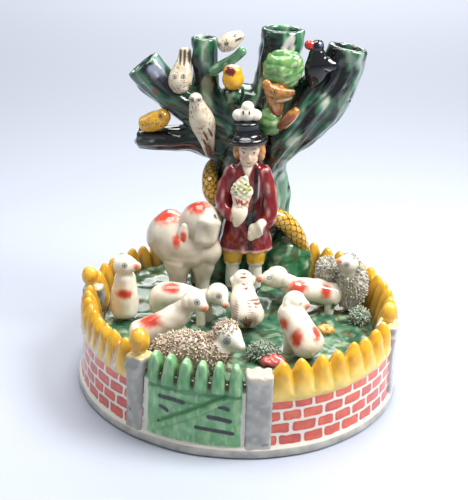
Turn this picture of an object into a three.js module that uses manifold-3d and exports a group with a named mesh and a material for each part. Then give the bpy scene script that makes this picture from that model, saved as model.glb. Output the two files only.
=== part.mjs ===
// A spill vase in glazed earthenware: a round walled sheepfold with a gate, a shepherd, a flock,
// and a hollow tree whose cut branches hold the spills. All of it is fired as one piece.
// Millimetres, +Z up. The origin is the centre of the underside, and the gate faces -Y.

import * as THREE from "three";
import { LoftGeometry } from "three/addons/geometries/LoftGeometry.js";
import { mergeVertices } from "three/addons/utils/BufferGeometryUtils.js";
import Module from "manifold-3d";

// The sheepfold
const FOOT_RADIUS = 95;
const FOOT_HEIGHT = 6.5;
const FOOT_RING = 9;
const UNDERSIDE_RECESS = 3;
const GROUND = 30;
const KNOLL_RISE = 10;
const WALL_FOOT_RADIUS = 92.6;
const WALL_TOP_RADIUS = 91;
const WALL_INNER_RADIUS = 79;
const BRICK_TOP = 31.5;
const TIP_RADIUS = 87;
const TIP_HEIGHT = 53.5;
const VALLEY_HEIGHT = 45;
const POST_TOP = 48;
const POST_PROUD = 2.4;

// The hollow tree
const TREE_DEPTH = 53;
const HOLLOW_FLOOR = 46;

// Azimuths run from -Y towards +X, in degrees.
const GATE = { from: -31.2, to: 2.2, teeth: 6, swell: 0.4, valley: 43, pointed: true };
const CRESTS = [
  GATE,
  { from: 12, to: 68.5, teeth: 8, swell: 1, valley: VALLEY_HEIGHT, pointed: true },
  { from: 77.5, to: 150, teeth: 9, swell: 1, valley: VALLEY_HEIGHT, pointed: false },
  { from: 158, to: 208, teeth: 5, swell: 0.6, valley: VALLEY_HEIGHT, pointed: false },
  { from: 216, to: 260, teeth: 5, swell: 1, valley: VALLEY_HEIGHT, pointed: false },
  { from: 268, to: 319.5, teeth: 9, swell: 1, valley: VALLEY_HEIGHT, pointed: true },
];
const POSTS = [
  { at: 7, half: 7, ball: 0, banded: true },
  { at: 73, half: 5, ball: 4.6, banded: true },
  { at: 154, half: 5, ball: 0, banded: false },
  { at: 212, half: 5, ball: 0, banded: false },
  { at: 264, half: 5, ball: 4.8, banded: true },
  { at: 324, half: 5.7, ball: 5.4, banded: true },
];

const EARTHENWARE = new THREE.MeshStandardMaterial({ color: 0xe9e2d2, roughness: 0.25, metalness: 0 });

const ACROSS = new THREE.Vector3(1, 0, 0);
const FORWARD = new THREE.Vector3(0, 1, 0);
const UP = new THREE.Vector3(0, 0, 1);
const ROUND = [[0.75, 0.6]];
const FLAT = [];
const SMALL = { sides: 6, rows: 4 };
const STUB = { sides: 4, steps: 1, start: FLAT, end: FLAT };
const COAT = { sides: 8, steps: 5, start: FLAT, end: FLAT, hint: ACROSS };
const STOCKING = { sides: 6, steps: 2, start: FLAT, end: FLAT };
const SLEEVE = { sides: 6, steps: 3, start: FLAT };

const wasm = await Module();
wasm.setup();

// A closed geometry as a solid: shared vertices merged, collapsed triangles dropped.
function solid(geometry) {
  const bare = new THREE.BufferGeometry();
  bare.setAttribute("position", geometry.attributes.position);
  bare.setIndex(geometry.index);
  const merged = mergeVertices(bare, 1e-4);
  const corners = merged.index.array;
  const triangles = [];
  for (let i = 0; i < corners.length; i += 3) {
    const [a, b, c] = corners.slice(i, i + 3);
    if (a !== b && b !== c && c !== a) triangles.push(a, b, c);
  }
  const mesh = new wasm.Mesh({
    numProp: 3,
    vertProperties: new Float32Array(merged.attributes.position.array),
    triVerts: new Uint32Array(triangles),
  });
  return new wasm.Manifold(mesh);
}

function join(solids) {
  return solids.reduce((whole, piece) => whole.add(piece));
}

function asGeometry(manifold) {
  const mesh = manifold.getMesh();
  const geometry = new THREE.BufferGeometry();
  geometry.setAttribute("position", new THREE.BufferAttribute(mesh.vertProperties, 3));
  geometry.setIndex(new THREE.BufferAttribute(mesh.triVerts, 1));
  geometry.computeVertexNormals();
  return geometry;
}

function polar(azimuth, radius, height) {
  const angle = THREE.MathUtils.degToRad(azimuth);
  return new THREE.Vector3(radius * Math.sin(angle), -radius * Math.cos(angle), height);
}

// An oval ring square to a heading: wide along the side hint, deep at right angles to it.
function ovalRing(centre, heading, wide, deep, sides, hint) {
  const side = hint.clone().addScaledVector(heading, -hint.dot(heading)).normalize();
  const rise = new THREE.Vector3().crossVectors(heading, side);
  const ring = [];
  for (let k = 0; k < sides; k += 1) {
    const angle = (2 * Math.PI * k) / sides;
    const point = centre.clone().addScaledVector(side, wide * Math.cos(angle));
    ring.push(point.addScaledVector(rise, deep * Math.sin(angle)));
  }
  return ring;
}

// The axis that a path leans on least, which keeps its rings from twisting.
function steadyAxis(path) {
  const chord = path.getPoint(1).sub(path.getPoint(0));
  const lean = (axis) => Math.abs(chord.dot(axis));
  return [ACROSS, FORWARD, UP].reduce((best, axis) => (lean(axis) < lean(best) ? axis : best));
}

// A limb is an oval carried through stops [x, y, z, wide, deep]; a round end closes like a thumb.
function limb(stops, { sides = 8, steps = stops.length + 1, start = ROUND, end = ROUND, hint } = {}) {
  const path = new THREE.CatmullRomCurve3(stops.map(([x, y, z]) => new THREE.Vector3(x, y, z)));
  const across = hint ?? steadyAxis(path);
  const sizes = stops.map(([, , , wide, deep = wide]) => new THREE.Vector3(wide, deep, 0));
  const girth = new THREE.CatmullRomCurve3(sizes);
  const rings = [];
  const addRing = (at, shift, scale) => {
    const heading = path.getTangent(at);
    const { x: wide, y: deep } = girth.getPoint(at);
    const centre = path.getPoint(at).addScaledVector(heading, shift * Math.min(wide, deep));
    rings.push(ovalRing(centre, heading, wide * scale, deep * scale, sides, across));
  };
  for (const [shift, scale] of [...start].reverse()) addRing(0, -shift, scale);
  for (let i = 0; i <= steps; i += 1) addRing(i / steps, 0, 1);
  for (const [shift, scale] of end) addRing(1, shift, scale);
  return solid(new LoftGeometry(rings, { capStart: true, capEnd: true }));
}

// An egg of half-sizes along X, Y and Z, turned about Z and then tipped about Y, in degrees.
function egg([x, y, z], [halfX, halfY, halfZ], { turn = 0, tip = 0, sides = 8, rows = 5 } = {}) {
  const geometry = new THREE.SphereGeometry(1, sides, rows);
  geometry.rotateX(Math.PI / 2);
  geometry.scale(halfX, halfY, halfZ);
  geometry.rotateY(THREE.MathUtils.degToRad(tip));
  geometry.rotateZ(THREE.MathUtils.degToRad(turn));
  geometry.translate(x, y, z);
  return solid(geometry);
}

// The green rises to a knoll under the tree, the shepherd and the ewe, and rolls a little.
function groundHeight(x, y) {
  const back = THREE.MathUtils.smoothstep(y, 8, 30);
  const left = 1 - THREE.MathUtils.smoothstep(x, 20, 44);
  const roll = 0.7 * Math.sin(x * 0.21) * Math.cos(y * 0.17);
  return GROUND + KNOLL_RISE * back * left + roll;
}

// The base is one loft of rings: up the recessed underside, round the foot and over the ground.
function base() {
  const inside = FOOT_RADIUS - FOOT_RING;
  const outline = [
    [0, UNDERSIDE_RECESS],
    [inside - 2, UNDERSIDE_RECESS],
    [inside, 0],
    [FOOT_RADIUS - 0.8, 0],
    [FOOT_RADIUS, 1.2],
    [FOOT_RADIUS - 0.5, FOOT_HEIGHT - 1],
    [WALL_FOOT_RADIUS, FOOT_HEIGHT],
    [WALL_TOP_RADIUS, BRICK_TOP],
    [WALL_INNER_RADIUS + 4, BRICK_TOP],
  ];
  const groundRadii = [WALL_INNER_RADIUS + 2.3, 56, 32, 0];
  const columns = 44;
  const azimuths = Array.from({ length: columns }, (_, k) => (360 * k) / columns);
  const ringAt = ([radius, height]) => azimuths.map((azimuth) => polar(azimuth, radius, height));
  const rings = outline.map(ringAt);
  for (const radius of groundRadii) {
    rings.push(azimuths.map((azimuth) => {
      const point = polar(azimuth, radius, 0);
      return point.setZ(groundHeight(point.x, point.y));
    }));
  }
  return solid(new LoftGeometry(rings));
}

// One upright section of the crest, from the tip down the outside and up the inside.
function crestSection(azimuth, height, swell) {
  const middle = height - 9;
  return [
    polar(azimuth, TIP_RADIUS, height),
    polar(azimuth, WALL_TOP_RADIUS - 0.6 + swell, middle),
    polar(azimuth, WALL_TOP_RADIUS + 0.5, BRICK_TOP - 0.7),
    polar(azimuth, WALL_INNER_RADIUS - 0.4 * swell, GROUND - 3.3),
  ];
}

// The crest's teeth rise from a valley to a tip; the near ones have a shoulder on each side of it.
function crest() {
  const sections = [];
  for (const { from, to, teeth, swell, valley, pointed } of CRESTS) {
    const shoulder = THREE.MathUtils.lerp(valley, TIP_HEIGHT, 0.72);
    const head = pointed
      ? [[0.27, shoulder, 0.3], [0.5, TIP_HEIGHT, swell], [0.73, shoulder, 0.3]]
      : [[0.38, TIP_HEIGHT - 0.6, swell], [0.62, TIP_HEIGHT - 0.6, swell]];
    const columns = [[0, valley, -1.4], ...head];
    for (let tooth = 0; tooth < teeth; tooth += 1) {
      for (const [along, height, bulge] of columns) {
        const azimuth = THREE.MathUtils.lerp(from, to, (tooth + along) / teeth);
        sections.push(crestSection(azimuth, height, bulge));
      }
    }
    sections.push(crestSection(to, valley, -1.4));
  }
  sections.push(sections[0].map((point) => point.clone()));
  return solid(new LoftGeometry(sections));
}

// A square gatepost with a moulded band under its head, and a ball where one is left.
function post({ at, half, ball, banded }) {
  const proud = WALL_TOP_RADIUS + POST_PROUD;
  const back = WALL_INNER_RADIUS + 3;
  const band = POST_TOP - 9;
  const moulding = banded ? [[band, 0], [band + 1, 0.8], [band + 3, 0.8], [band + 4, 0]] : [];
  const levels = [[FOOT_HEIGHT - 2, 0.8], ...moulding, [POST_TOP - 1.5, -0.2], [POST_TOP, -1.6]];
  const angle = THREE.MathUtils.degToRad(at);
  const rings = levels.map(([height, grow]) => {
    const outer = proud + grow;
    const inner = back - Math.min(grow, 0);
    const wide = half + grow;
    const corners = [[inner, -wide], [outer - 1.5, -wide], [outer, 1.5 - wide], [outer, wide - 1.5],
      [outer - 1.5, wide], [inner, wide]];
    return corners.map(([out, along]) => new THREE.Vector3(
      out * Math.sin(angle) + along * Math.cos(angle),
      -out * Math.cos(angle) + along * Math.sin(angle),
      height,
    ));
  });
  const shaft = solid(new LoftGeometry(rings, { capStart: true, capEnd: true }));
  if (!ball) return shaft;
  const { x, y } = polar(at, TIP_RADIUS + 1, 0);
  return shaft.add(egg([x, y, POST_TOP + ball], [ball, ball, ball * 1.35]));
}

// A flat bar of the gate, laid on the wall's face between two azimuths.
function bar(fromAzimuth, fromHeight, toAzimuth, toHeight, half, proud) {
  const rings = [];
  const steps = 3;
  for (let i = 0; i <= steps; i += 1) {
    const azimuth = THREE.MathUtils.lerp(fromAzimuth, toAzimuth, i / steps);
    const height = THREE.MathUtils.lerp(fromHeight, toHeight, i / steps);
    const radiusAt = (level) => (
      THREE.MathUtils.mapLinear(level, 0, BRICK_TOP, WALL_FOOT_RADIUS, WALL_TOP_RADIUS)
    );
    const low = height - half;
    const high = height + half;
    rings.push([
      polar(azimuth, radiusAt(high) + proud, high),
      polar(azimuth, radiusAt(low) + proud, low),
      polar(azimuth, radiusAt(low) - 2, low),
      polar(azimuth, radiusAt(high) - 2, high),
    ]);
  }
  return solid(new LoftGeometry(rings, { capStart: true, capEnd: true }));
}

function gate() {
  const left = GATE.from + 1.5;
  const right = GATE.to - 1.5;
  return join([
    bar(left, 11, right, 11, 2, 1),
    bar(left, 36, right, 36, 1.6, 1),
    bar(left + 2, 14, right - 2, 34, 2, 1.1),
  ]);
}

// The tree: each branch runs from the trunk to its end, and an open one names its mouth's bore.
const BRANCHES = {
  trunk: [[6, 57, 26, 26, 17], [6, 56, 60, 23, 15.5], [6, 56, 92, 22.6, 14.5], [3, 55, 116, 22, 14.5],
    [3, 54, 140, 26, 13.5], [6, 53, 158, 20, 12]],
  top: [[12, 54, 140, 16, 12], [17, 53, 168, 14.5, 12.5], [20, TREE_DEPTH, 194, 13.6, 13]],
  right: [[18, 54, 124, 14, 14], [36, 53, 145, 14, 18], [52, TREE_DEPTH, 166, 12, 15],
    [58.5, TREE_DEPTH, 184.5, 12, 12]],
  upright: [[-8, 54, 136, 12, 10], [-21, 53, 152, 9.5, 9], [-25, TREE_DEPTH, 170, 8, 8],
    [-25.5, TREE_DEPTH, 187.5, 8.3, 8.3]],
  left: [[-8, 54, 134, 13, 13], [-31, 53, 147, 12, 13], [-49, TREE_DEPTH, 158, 11, 11],
    [-61, TREE_DEPTH, 171, 11.4, 11.4]],
};
const MOUTHS = {
  top: { lean: [0.04, 0, 1], radius: 9.4, depth: 60 },
  right: { lean: [0.17, 0, 1], radius: 8, depth: 34 },
  upright: { lean: [0, 0, 1], radius: 4.6, depth: 30 },
  left: { lean: [-0.64, 0, 0.77], radius: 7.4, depth: 24 },
};
const TRUNK_HOLLOW = [[6, 56, HOLLOW_FLOOR, 15, 10], [5, 56, 95, 17, 10], [2, 55, 118, 19, 10],
  [4, 54, 140, 21, 9], [10, 53, 156, 11, 8]];

function mouthBore(stops, { lean, radius, depth }) {
  const [x, y, z] = stops[stops.length - 1];
  const out = new THREE.Vector3(...lean).normalize();
  const lip = new THREE.Vector3(x, y, z).addScaledVector(out, 3);
  const inner = new THREE.Vector3(x, y, z).addScaledVector(out, -depth);
  return limb([[...inner, radius], [...lip, radius]], { steps: 1, sides: 8, start: FLAT, end: FLAT });
}

function tree() {
  const wood = [limb(BRANCHES.trunk, { sides: 9, start: FLAT, hint: ACROSS })];
  for (const name of Object.keys(MOUTHS)) {
    wood.push(limb(BRANCHES[name], { sides: 8, steps: 3, start: FLAT, end: FLAT, hint: FORWARD }));
  }
  const lowBranch = [
    [-12, 54, 122, 12, 11], [-30, 53.4, 127, 8.8, 8.2], [-42, 53, 127.4, 7, 6.8],
    [-56, 52, 128, 6.4, 6.4], [-64, 52, 128.5, 5.6, 5.6],
  ];
  wood.push(limb(lowBranch, { sides: 7, steps: 3, start: FLAT, hint: FORWARD }));
  const twig = [[-21, 47, 172, 3], [-14, 44, 175, 2.6], [-4, 43, 184, 2.4]];
  wood.push(limb(twig, { sides: 5, steps: 3, start: FLAT }));
  const cup = [[-5, 50, 152, 7.5], [-7.6, 42, 172.5, 7]];
  wood.push(limb(cup, { sides: 8, steps: 2, start: FLAT, end: FLAT }));
  wood.push(egg([29, 52, 48], [17, 17, 26], { sides: 9, rows: 5 }));
  wood.push(egg([-16, 56, 42], [18, 14, 16], { sides: 8, rows: 4 }));
  return join(wood);
}

function treeHollow() {
  const bores = Object.entries(MOUTHS).map(([name, mouth]) => mouthBore(BRANCHES[name], mouth));
  bores.push(limb(TRUNK_HOLLOW, { sides: 8, steps: 3, start: FLAT, end: FLAT, hint: ACROSS }));
  return join(bores);
}

function snake() {
  const coil = [
    [-14, 66, 112, 4], [-19.4, 54, 108.5, 4.6], [-20, 44.5, 103, 5.2], [-17.6, 39.6, 96, 5.4], [-7, 38.8, 90.6, 5.4],
    [15, 40.6, 84.6, 5.4], [26, 42.4, 79.6, 5.6], [34.4, 44, 70, 5], [40.5, 48, 58, 3.2],
  ];
  return limb(coil, { sides: 5, steps: 11, hint: FORWARD });
}

function shepherd() {
  const body = [
    limb([
      [2.4, 33, 65.5, 15.6, 10], [2.2, 33, 80, 13.4, 9.2], [2.4, 33, 95, 12.4, 8.6],
      [2.4, 33, 109, 12.6, 8.4], [2.4, 33, 117, 9.2, 7], [2.5, 32.5, 122, 4.5, 4.5],
    ], COAT),
    limb([[-6.6, 32, 114, 4.8], [-9.6, 30, 100, 5], [-8.8, 26, 90.5, 4.6], [-2.6, 22.5, 86.5, 4]], SLEEVE),
    limb([[11.6, 32, 114, 4.8], [14.8, 30, 99, 5], [13.6, 25.5, 86, 4.6], [6.5, 22, 80.5, 4.6]], SLEEVE),
    egg([-0.6, 24.6, 103], [6.4, 3.4, 12], SMALL),
    egg([2.7, 31.5, 127.5], [7, 7.2, 8.8]),
    egg([9, 33, 127.5], [3.4, 5, 6], SMALL),
    egg([-3.7, 32.6, 127.1], [3.3, 4.8, 5.8], SMALL),
  ];
  for (const x of [-4.8, 9]) {
    body.push(limb([[x, 31, 36, 4.2], [x, 31.5, 46, 3.8], [x, 31.5, 58, 4.6]], STOCKING));
    body.push(limb([[x, 31.5, 58, 5.2], [x, 32, 68, 6.7]], { ...STOCKING, steps: 1 }));
    body.push(limb([[x, 31, 39.5, 3.8], [x, 25, 39.5, 3.4]], STUB));
  }
  const hat = [[2.7, 31.5, 134, 9.5, 9], [2.7, 31.5, 135, 11.2, 10.4], [2.7, 31.5, 136.4, 10.6, 9.8],
    [1.4, 31.5, 137.2, 7.4, 7], [0.8, 31.5, 144.6, 8, 7.4]];
  body.push(limb(hat, { sides: 8, steps: 4, start: FLAT, end: FLAT, hint: ACROSS }));
  return join(body);
}

// A sheep is a body of balls [x, y, z, radius], a head that ends in its nose, its feet, and the ears
// that stand clear: -1 is the one on the right of its nose, 1 the one on the left.
function sheep({ body, head, feet = [], ears = [] }) {
  const [poll, nose] = head.map(([x, y, z]) => new THREE.Vector3(x, y, z));
  const away = nose.clone().sub(poll).normalize();
  const side = new THREE.Vector3(-away.y, away.x, 0).normalize();
  const size = head[0][3] / 6;
  const pieces = [
    limb(body, { sides: 6, steps: body.length - 1 }),
    limb(head, { sides: 6, steps: 1 }),
  ];
  for (const hand of ears) {
    const root = poll.clone().addScaledVector(side, hand * 5 * size).addScaledVector(away, -2 * size);
    const tip = root.clone().addScaledVector(side, hand).addScaledVector(away, -2).setZ(root.z - 5 * size);
    pieces.push(limb([[...root, 2.4 * size, 1.6], [...tip, 2.2 * size, 1.4]], STUB));
  }
  for (const [x, y, height] of feet) {
    pieces.push(limb([[x, y, GROUND - 2, 3], [x, y, height, 3.6]], STUB));
  }
  return join(pieces);
}

const FLOCK = [
  { body: [[-67.9, 3, 36, 9.2], [-67.6, 2, 47, 8.4], [-67.1, 0.6, 58, 6.4]],
    head: [[-67.2, 0.2, 66, 6.6], [-59.8, -2, 66.4, 2.9]] },
  { body: [[-47, 6, 36, 7.4], [-45.4, 5, 44.4, 8], [-36, 4.4, 46, 7.6],
      [-25, 2, 44, 7], [-17, -0.6, 48, 5.2]],
    head: [[-13, -2, 50.4, 6.8], [-8.7, -7.4, 46.4, 2.8]], feet: [[-22.5, -3, 42], [-19, 3, 42]] },
  { body: [[-55.4, -33, 38, 8.2], [-45.2, -32, 43.4, 8], [-34.7, -31, 50, 7.4], [-29, -31, 56, 5.6]],
    head: [[-25.2, -31.8, 60.6, 6.8], [-19.8, -36, 58, 3]],
    ears: [-1], feet: [[-32, -33, 46], [-39, -36, 42]] },
  { body: [[-39.4, -57, 39.5, 9, 11.5], [-28.7, -58, 40.4, 9.6, 13],
      [-17, -57, 40, 9.4, 12], [-10, -56, 45, 8, 9]],
    head: [[-6, -55, 50.6, 8.4], [0.6, -59.6, 47.4, 3.4]], ears: [-1, 1] },
  { body: [[5, -8.4, 39.2, 10.6], [2.6, -2, 46.6, 8.6], [1.9, 2.4, 51, 7.2]],
    head: [[1.4, 5.6, 56, 7], [1, 11, 55, 4.4]], ears: [-1, 1] },
  { body: [[56.6, 20.4, 41, 8.2], [46, 19, 44.6, 7.6], [34.3, 17.4, 46, 7.6], [27, 15.6, 51, 6]],
    head: [[21.8, 14, 55, 7.4], [12, 11, 54.8, 2.8]], ears: [1], feet: [[54.6, 17, 38], [34, 15, 42]] },
  { body: [[38.6, -40, 38, 10], [31.8, -35, 48.2, 9], [27.8, -30.6, 55, 7.8]],
    head: [[30, -29, 59.6, 6.8], [36, -29.6, 58.4, 3]], ears: [-1], feet: [[28, -33, 44]] },
  { body: [[67.2, 23.4, 38, 8.8], [68, 22, 50, 9.4], [65.6, 20, 58, 7.2]],
    head: [[64.2, 18.6, 62.8, 6.8], [58.4, 14, 66, 2.8]] },
];

function ewe() {
  const pieces = [
    limb([[-44.6, 30, 75, 14.6], [-36, 29, 70, 15.6], [-26, 27.4, 69, 12.6]], { sides: 8, steps: 4, hint: UP }),
    egg([-25, 25, 84.6], [12, 10.4, 12.4], { sides: 8, rows: 6 }),
    limb([[-20, 22, 84, 8.4], [-16, 21, 76, 6]], { sides: 7, steps: 1 }),
    limb([[-23.2, 17, 84, 4.6, 2.4], [-23, 16, 74.6, 2.6, 2]], { sides: 6, steps: 1 }),
  ];
  for (const [x, y, girth] of [[-39, 25, 6.6], [-24, 25, 5.8], [-40, 36, 5.4], [-27, 36, 5]]) {
    pieces.push(limb([[x, y, 36, girth], [x, y, 48, girth * 0.92], [x, y + 1, 62, girth * 1.25]],
      { sides: 5, steps: 2, start: FLAT, end: FLAT }));
  }
  return join(pieces);
}

// A bird from its tail, through its breast, to its head.
function bird(tail, breast, head, girth) {
  const middle = tail.map((value, axis) => THREE.MathUtils.lerp(value, breast[axis], 0.5));
  const line = [
    [...tail, girth * 0.4, girth * 0.3], [...middle, girth * 0.7], [...breast, girth], [...head, girth * 0.62],
  ];
  return limb(line, { sides: 6, steps: 3 });
}

function birds() {
  return join([
    bird([-36, 50, 181], [-38.5, 47, 168], [-38.5, 43, 160], 6.8),
    bird([-21, 40, 123], [-25, 40, 144], [-29, 39, 157], 7),
    bird([-4, 44, 191.5], [-10, 42.5, 187], [-14, 42, 184.5], 5.2),
    bird([-60, 48, 136], [-52, 46, 139], [-47, 46, 143], 6.2),
    bird([8, 32, 149.5], [0, 31, 148.5], [-6, 30, 151], 6),
    bird([36, 45, 163], [37.5, 45, 176], [39, 43, 187], 6.4),
    egg([-8, 41, 170.5], [4.6, 4.6, 5.6], SMALL),
    limb([[36, 38, 178, 3.6, 2.4], [48, 40, 177, 2, 1.6]], STUB),
  ]);
}

function foxInLeaves() {
  return join([
    egg([19.5, 41, 176], [12.5, 9, 11.5]),
    egg([14, 40, 144], [8.6, 9, 10], { sides: 7, rows: 4 }),
    limb([[12, 36, 165, 5.6], [18, 34, 162, 5.4], [28, 32, 161.5, 2]], { sides: 6, steps: 2 }),
    limb([[14, 38, 164, 6], [18, 38, 155, 5.4], [18, 37, 148, 4.4]], { sides: 6, steps: 1 }),
    limb([[15, 34, 140, 3], [20, 33, 141, 4.4], [27, 34, 149, 2.6]], { sides: 6, steps: 2, hint: FORWARD }),
  ]);
}

function scatter() {
  return join([
    limb([[53.4, 29, 36, 7], [53.4, 28.4, 48, 7], [53.2, 28, 57, 7.4]], { sides: 6, steps: 2 }),
    egg([71.3, 5, 34.4], [6, 6, 6.6], SMALL),
    egg([13.5, -41, 34], [9.4, 6.5, 6.6], SMALL),
    egg([18.4, -46.6, 32.4], [8, 7, 4], { rows: 4 }),
    egg([50.3, -8, 32], [6, 4.6, 3.6], SMALL),
  ]);
}

const clay = join([
  base(),
  crest(),
  ...POSTS.map(post),
  gate(),
  tree(),
  snake(),
  shepherd(),
  ewe(),
  ...FLOCK.map(sheep),
  birds(),
  foxInLeaves(),
  scatter(),
]).subtract(treeHollow());

// Pieces that lean together can shut in a small void; the solid is kept without it.
const whole = join(clay.decompose().filter((shell) => shell.volume() > 0));

const group = new THREE.Group();
const vase = new THREE.Mesh(asGeometry(whole), EARTHENWARE);
vase.name = "spill_vase";
group.add(vase);

export default group;
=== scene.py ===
"""Dresses the spill vase: a glazed earthenware sheepfold with a shepherd, a flock and a hollow tree.

Sizes are in millimetres in the vase's own frame and become metres when a mesh is made. The gate faces -Y.
Azimuths run from -Y towards +X, in degrees.
"""

import logging
import math
from dataclasses import dataclass, field
from enum import Enum
from typing import Any, Callable, Sequence

import bmesh
import bpy
import numpy as np
from mathutils import Matrix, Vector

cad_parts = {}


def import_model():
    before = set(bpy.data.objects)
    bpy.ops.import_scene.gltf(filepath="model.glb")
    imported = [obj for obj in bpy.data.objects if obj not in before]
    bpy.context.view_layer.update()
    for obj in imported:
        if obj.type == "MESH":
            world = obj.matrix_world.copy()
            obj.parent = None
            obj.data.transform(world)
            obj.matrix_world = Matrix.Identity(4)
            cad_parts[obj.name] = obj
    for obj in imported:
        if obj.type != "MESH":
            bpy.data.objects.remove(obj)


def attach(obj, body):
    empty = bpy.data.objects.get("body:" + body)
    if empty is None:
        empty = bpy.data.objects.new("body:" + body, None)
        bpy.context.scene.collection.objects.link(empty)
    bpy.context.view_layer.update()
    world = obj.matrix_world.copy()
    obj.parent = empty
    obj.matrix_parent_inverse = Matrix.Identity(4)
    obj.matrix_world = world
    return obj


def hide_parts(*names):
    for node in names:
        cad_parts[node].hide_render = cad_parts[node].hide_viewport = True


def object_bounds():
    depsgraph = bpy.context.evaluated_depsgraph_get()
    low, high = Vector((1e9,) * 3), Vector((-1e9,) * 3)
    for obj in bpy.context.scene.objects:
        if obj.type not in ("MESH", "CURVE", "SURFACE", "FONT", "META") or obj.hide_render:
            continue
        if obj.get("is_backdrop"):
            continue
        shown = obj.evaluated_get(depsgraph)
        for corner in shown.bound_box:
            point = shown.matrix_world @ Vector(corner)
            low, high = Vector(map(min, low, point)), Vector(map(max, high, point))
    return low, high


Array = np.ndarray
Stops = Sequence[Sequence[float]]

MM = 0.001
NODE = "spill_vase"
BODY = "root"

CREAM = "#EDE5D4"
REDDLE = "#C8452C"
PINK = "#E08A6C"
YELLOW = "#E9B63A"
ORANGE = "#C9771C"
GREY = "#9C9A97"
MAROON = "#6E1A22"
BLACK = "#14131A"
UMBER = "#4A2A22"

log = logging.getLogger("spill_vase")


def linear(code: str) -> tuple[float, float, float, float]:
    """Turns an sRGB hex colour into the linear colour that shaders take.

    Args:
        code: A colour such as "#EDE5D4".

    Returns:
        Red, green, blue and alpha.
    """
    parts = [int(code[i : i + 2], 16) / 255 for i in (1, 3, 5)]
    red, green, blue = [c / 12.92 if c <= 0.04045 else ((c + 0.055) / 1.055) ** 2.4 for c in parts]
    return (red, green, blue, 1.0)


def smooth_step(values: Array, low: float, high: float) -> Array:
    """Rises from 0 at low to 1 at high as 3t^2 - 2t^3, and falls where low is the larger."""
    t = np.clip((values - low) / (high - low), 0.0, 1.0)
    return t * t * (3 - 2 * t)


def polar(azimuth: Array, radius: Array, height: Array) -> Array:
    """Turns azimuth in degrees, radius and height into points, on the arrays' common shape."""
    angle = np.radians(azimuth)
    return np.stack(np.broadcast_arrays(radius * np.sin(angle), -radius * np.cos(angle), height), axis=-1)


def cloud(places: Array, size: float, seed: int, waves: int = 14) -> Array:
    """A soft random field: the mean of sine waves about `size` mm long in random directions.

    Args:
        places: Points, with X, Y and Z in the last axis.
        size: The length of a typical wave, in millimetres.
        seed: Which random field.
        waves: How many waves are added.

    Returns:
        One value for each point, mostly from -1 to 1.
    """
    rng = np.random.default_rng(seed)
    ways = rng.normal(size=(waves, 3))
    ways /= np.linalg.norm(ways, axis=1, keepdims=True)
    ways *= (2 * math.pi / size) * rng.uniform(0.6, 1.5, (waves, 1))
    phase = rng.uniform(0, 2 * math.pi, waves)
    return np.sin(places @ ways.T + phase).sum(-1) * math.sqrt(2 / waves) * 0.7


def catmull(knots: Array, at: Array) -> Array:
    """A smooth curve through knots: uniform Catmull-Rom, with each end carried on straight.

    Args:
        knots: One row for each stop.
        at: Places from 0, the first stop, to 1, the last.

    Returns:
        One row for each place.
    """
    knots = np.asarray(knots, float)
    full = np.concatenate([2 * knots[:1] - knots[1:2], knots, 2 * knots[-1:] - knots[-2:-1]])
    along = np.clip(np.asarray(at, float), 0, 1) * (len(knots) - 1)
    first = np.minimum(along.astype(int), len(knots) - 2)
    f = (along - first)[:, None]
    a, b, c, d = (full[first + k] for k in range(4))
    return 0.5 * (2 * b + (c - a) * f + (2 * a - 5 * b + 4 * c - d) * f**2 + (3 * b - a - 3 * c + d) * f**3)


@dataclass
class Shell:
    """A surface as arrays: points, four-sided faces and three-sided faces."""

    points: Array
    quads: Array
    triangles: Array = field(default_factory=lambda: np.zeros((0, 3), int))

    @staticmethod
    def grid(points: Array, wrap: bool = True) -> "Shell":
        """Joins a grid of points, rows by columns, with quads.

        Args:
            points: Rows, columns and X, Y, Z.
            wrap: Whether the last column joins the first.

        Returns:
            The shell, facing along (next column) x (next row).
        """
        rows, columns = points.shape[:2]
        row = np.arange(rows - 1)[:, None] * columns
        column = np.arange(columns if wrap else columns - 1)[None, :]
        after = (column + 1) % columns
        quads = np.stack([row + column, row + after, row + columns + after, row + columns + column], -1)
        return Shell(points.reshape(-1, 3), quads.reshape(-1, 4))

    @staticmethod
    def tube(rings: Array, first: Array, last: Array) -> "Shell":
        """Joins rings into a closed skin with a pole at each end."""
        shell = Shell.grid(rings)
        count, sides = rings.shape[:2]
        edge = np.arange(sides)
        after = (edge + 1) % sides
        pole = count * sides
        top = (count - 1) * sides
        low_fan = np.stack([np.full(sides, pole), after, edge], -1)
        high_fan = np.stack([np.full(sides, pole + 1), top + edge, top + after], -1)
        points = np.concatenate([shell.points, np.atleast_2d(first), np.atleast_2d(last)])
        return Shell(points, shell.quads, np.concatenate([low_fan, high_fan]))

    @staticmethod
    def joined(shells: Sequence["Shell"]) -> "Shell":
        """Puts shells side by side in one shell."""
        starts = np.cumsum([0] + [len(s.points) for s in shells[:-1]])
        return Shell(
            np.concatenate([s.points for s in shells]),
            np.concatenate([s.quads + k for s, k in zip(shells, starts)]),
            np.concatenate([s.triangles + k for s, k in zip(shells, starts)]),
        )


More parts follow.
